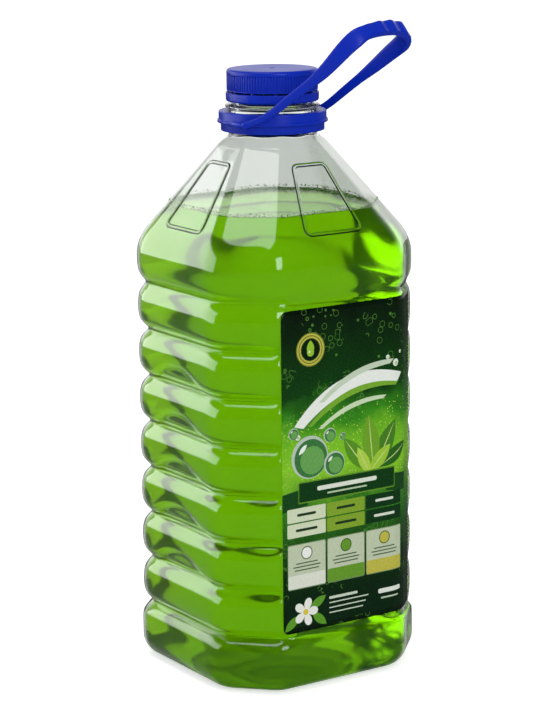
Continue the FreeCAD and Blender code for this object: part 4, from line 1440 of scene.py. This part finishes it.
@dataclass
class Studio:
    """Pale sweep, soft lamps and the camera at the photograph's viewing angle."""

    distance: float = 1460.3
    azimuth: float = -33.38
    pitch: float = 12.15
    focal: float = 2457.45
    target_z: float = 176.8
    target_pixel: tuple = (274.98, 367.13)
    frame_size: tuple = (540, 720)
    roll: float = -0.60
    sensor: float = 36.0

    def axes(self) -> tuple:
        """Unit vectors to the right, up and back of the view."""
        turn, tilt = math.radians(self.azimuth), math.radians(self.pitch)
        back = Vector((math.sin(turn) * math.cos(tilt), -math.cos(turn) * math.cos(tilt), math.sin(tilt)))
        right = Vector((math.cos(turn), math.sin(turn), 0.0))
        return right, back.cross(right), back

    def camera(self) -> None:
        """Place the camera so the bottle falls where the photograph shows it."""
        right, up, back = self.axes()
        scale = self.distance / self.focal
        aside = (self.target_pixel[0] - self.frame_size[0] / 2) * scale
        below = (self.target_pixel[1] - self.frame_size[1] / 2) * scale
        place = Vector((0, 0, self.target_z)) + back * self.distance - right * aside + up * below
        turn = math.radians(self.roll)
        level = right * math.cos(turn) + up * math.sin(turn)
        upright = up * math.cos(turn) - right * math.sin(turn)
        data = bpy.data.cameras.new("camera")
        data.sensor_width = self.sensor
        data.lens = self.focal / self.frame_size[1] * self.sensor
        data.clip_end = 20.0
        eye = bpy.data.objects.new("camera", data)
        bpy.context.scene.collection.objects.link(eye)
        matrix = Matrix((level, upright, back)).transposed().to_4x4()
        matrix.translation = place * MM
        eye.matrix_world = matrix
        bpy.context.scene.camera = eye

    def behind(self, nodes: Nodes, direction: bpy.types.NodeSocket, sign: float) -> bpy.types.NodeSocket:
        """Share of a direction that leads to the white wall behind the bottle.

        Args:
            nodes: Node helper of the tree.
            direction: Socket of a unit vector.
            sign: 1 for a direction that leads away from the viewer, -1 for the opposite one.
        """
        turn = math.radians(self.azimuth)
        away = nodes.add("ShaderNodeVectorMath", {0: direction, 1: (
            -sign * math.sin(turn), sign * math.cos(turn), 0.0)}, operation="DOT_PRODUCT").outputs["Value"]
        lit = nodes.add("ShaderNodeMapRange", {"Value": away, "From Min": 0.35, "From Max": 0.8}).outputs[0]
        height = nodes.add("ShaderNodeSeparateXYZ", {0: direction}).outputs[2]
        high = nodes.math("MULTIPLY", height, sign)
        low = nodes.add("ShaderNodeMapRange", {"Value": high, "From Min": 0.15, "From Max": 0.5, "To Min": 1.0,
                                               "To Max": 0.3}).outputs[0]
        return nodes.math("MULTIPLY", lit, low)

    def world(self) -> None:
        """Light the scene evenly and show white where the view meets no object."""
        world = bpy.data.worlds.new("studio")
        bpy.context.scene.world = world
        world.use_nodes = True
        nodes = Nodes(world.node_tree)
        path = nodes.add("ShaderNodeLightPath").outputs
        place = nodes.add("ShaderNodeTexCoord").outputs["Generated"]
        mirrored = nodes.mix(self.behind(nodes, place, 1.0), (0.02, 0.02, 0.02, 1.0), (1.0, 1.0, 1.0, 1.0))
        height = nodes.add("ShaderNodeSeparateXYZ", {0: place}).outputs[2]
        rise = nodes.math("MULTIPLY_ADD", height, 0.5)
        rise.node.inputs[2].default_value = 0.5
        soft = nodes.ramp(rise, [(0.0, (0.42, 0.43, 0.42, 1)), (0.5, (0.50, 0.51, 0.50, 1)), (1.0, (0.62, 0.62, 0.62, 1))])
        passed = nodes.math("MAXIMUM", path["Is Glossy Ray"], path["Is Transmission Ray"])
        light_colour = nodes.mix(passed, soft, mirrored)
        colour = nodes.mix(path["Is Camera Ray"], light_colour, (1.0, 1.0, 1.0, 1.0))
        light = nodes.add("ShaderNodeBackground", {"Color": colour, "Strength": 1.0})
        nodes.add("ShaderNodeOutputWorld", {"Surface": light.outputs[0]})

    def floor(self) -> bpy.types.Object:
        """Build the pale floor."""
        reach = 15000.0
        points = np.array([(-reach, -reach, -0.3), (reach, -reach, -0.3), (reach, reach, -0.3), (-reach, reach, -0.3)])
        floor = mesh_object("floor", points, [(0, 1, 2, 3)], smooth=False)
        material, nodes = new_material("pale_floor")
        path = nodes.add("ShaderNodeLightPath")
        place = nodes.add("ShaderNodeTexCoord").outputs["Object"]
        grain = nodes.add("ShaderNodeTexNoise", {"Vector": place, "Scale": 40.0})
        colour = nodes.mix(grain.outputs[0], (0.93, 0.93, 0.93, 1), (0.96, 0.96, 0.96, 1))
        passed = nodes.math("MAXIMUM", path.outputs["Is Glossy Ray"], path.outputs["Is Transmission Ray"])
        colour = nodes.mix(passed, colour, (0.10, 0.11, 0.10, 1))
        plain = nodes.add("ShaderNodeBsdfDiffuse", {"Color": colour})
        glow = nodes.add("ShaderNodeEmission", {"Color": (1, 1, 1, 1), "Strength": 0.60})
        both = nodes.add("ShaderNodeAddShader", {0: plain.outputs[0], 1: glow.outputs[0]})
        incoming = nodes.add("ShaderNodeNewGeometry").outputs["Incoming"]
        through = nodes.math("MULTIPLY", path.outputs["Is Transmission Ray"], self.behind(nodes, incoming, -1.0))
        seen = nodes.math("MAXIMUM", path.outputs["Is Camera Ray"], through)
        mixed = nodes.add("ShaderNodeMixShader", {0: seen, 1: plain.outputs[0], 2: both.outputs[0]})
        nodes.add("ShaderNodeOutputMaterial", {"Surface": mixed.outputs[0]})
        floor.data.materials.append(material)
        return floor

    def lamp(self, name: str, place: tuple, size: tuple, power: float, mirrored: bool = False) -> None:
        """Place a soft rectangular lamp aimed at the bottle's middle.

        Args:
            name: Name of the lamp.
            place: Its middle in millimetres.
            size: Width and height in millimetres.
            power: Strength in watts.
            mirrored: Whether the lamp only shows in glossy surfaces.
        """
        data = bpy.data.lights.new(name, "AREA")
        data.shape = "RECTANGLE"
        data.size, data.size_y = size[0] * MM, size[1] * MM
        data.energy = power
        made = bpy.data.objects.new(name, data)
        bpy.context.scene.collection.objects.link(made)
        made.location = Vector(place) * MM
        made.rotation_euler = (Vector((0, 0, 0.2)) - made.location).to_track_quat("-Z", "Y").to_euler()
        made.visible_diffuse = not mirrored

    def build(self) -> None:
        """Build the whole stage."""
        self.camera()
        self.world()
        self.floor()
        self.lamp("left_softbox", (-1200, 1000, 620), (1900, 1100), 17.0, mirrored=True)
        self.lamp("front_softbox", (-300, -1500, 900), (500, 900), 6.0)
        self.lamp("top_softbox", (-420, -60, 1500), (900, 500), 4.0)
        bpy.context.scene.view_settings.view_transform = "Standard"


def settle(piece: bpy.types.Object, material: bpy.types.Material, body: Body, slot: Slot, *nodes: str) -> None:
    """Dress a piece, tie it to its body and let it stand for its nodes.

    Args:
        piece: The finished piece.
        material: Its finish.
        body: The body that it moves with.
        slot: The record's slot for its finish; not used.
        nodes: The nodes that it replaces.
    """
    piece.data.materials.clear()
    piece.data.materials.append(material)
    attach(piece, body.value)
    if nodes:
        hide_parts(*nodes)
    log.info("%s: %d faces", piece.name, len(piece.data.polygons))


def main() -> None:
    """Build every piece in order and report it."""
    logging.basicConfig(level=logging.INFO, format="%(name)s: %(message)s")
    Studio().build()
    grain = surface_grain_group()
    blue = MouldedPlastic("blue_moulding", (0.001, 0.028, 0.52, 1), (0.001, 0.015, 0.40, 1)).build(grain)
    foam = MouldedPlastic("foam_disc", (0.85, 0.85, 0.82, 1), (0.75, 0.75, 0.72, 1), roughness=0.8).build(grain)
    body = BlownBody()
    settle(body.shell(), BlownClear().build(), Body.BOTTLE, Slot.SHELL, "bottle")
    settle(body.liquid(), GreenDetergent().build(), Body.BOTTLE, Slot.LIQUID, "detergent")
    bubbles = BubbleFilm().build()
    settle(FoamLine().build(body, bubbles), bubbles, Body.BOTTLE, Slot.LIQUID)
    settle(WrapLabel().build(), LabelPrint().build(), Body.BOTTLE, Slot.LABEL, "front_label")
    closure = ScrewCap()
    settle(closure.band(blue), blue, Body.BOTTLE, Slot.BLUE, "tamper_band")
    settle(closure.cap(blue), blue, Body.CAP, Slot.BLUE, "cap")
    settle(closure.liner(), foam, Body.LINER, Slot.FOAM, "liner")
    handle = CarryHandle()
    settle(handle.collar(), blue, Body.COLLAR, Slot.BLUE, "handle_collar")
    settle(handle.strap(), blue, Body.STRAP, Slot.BLUE, "carry_strap")


if __name__ == "__main__":
    main()
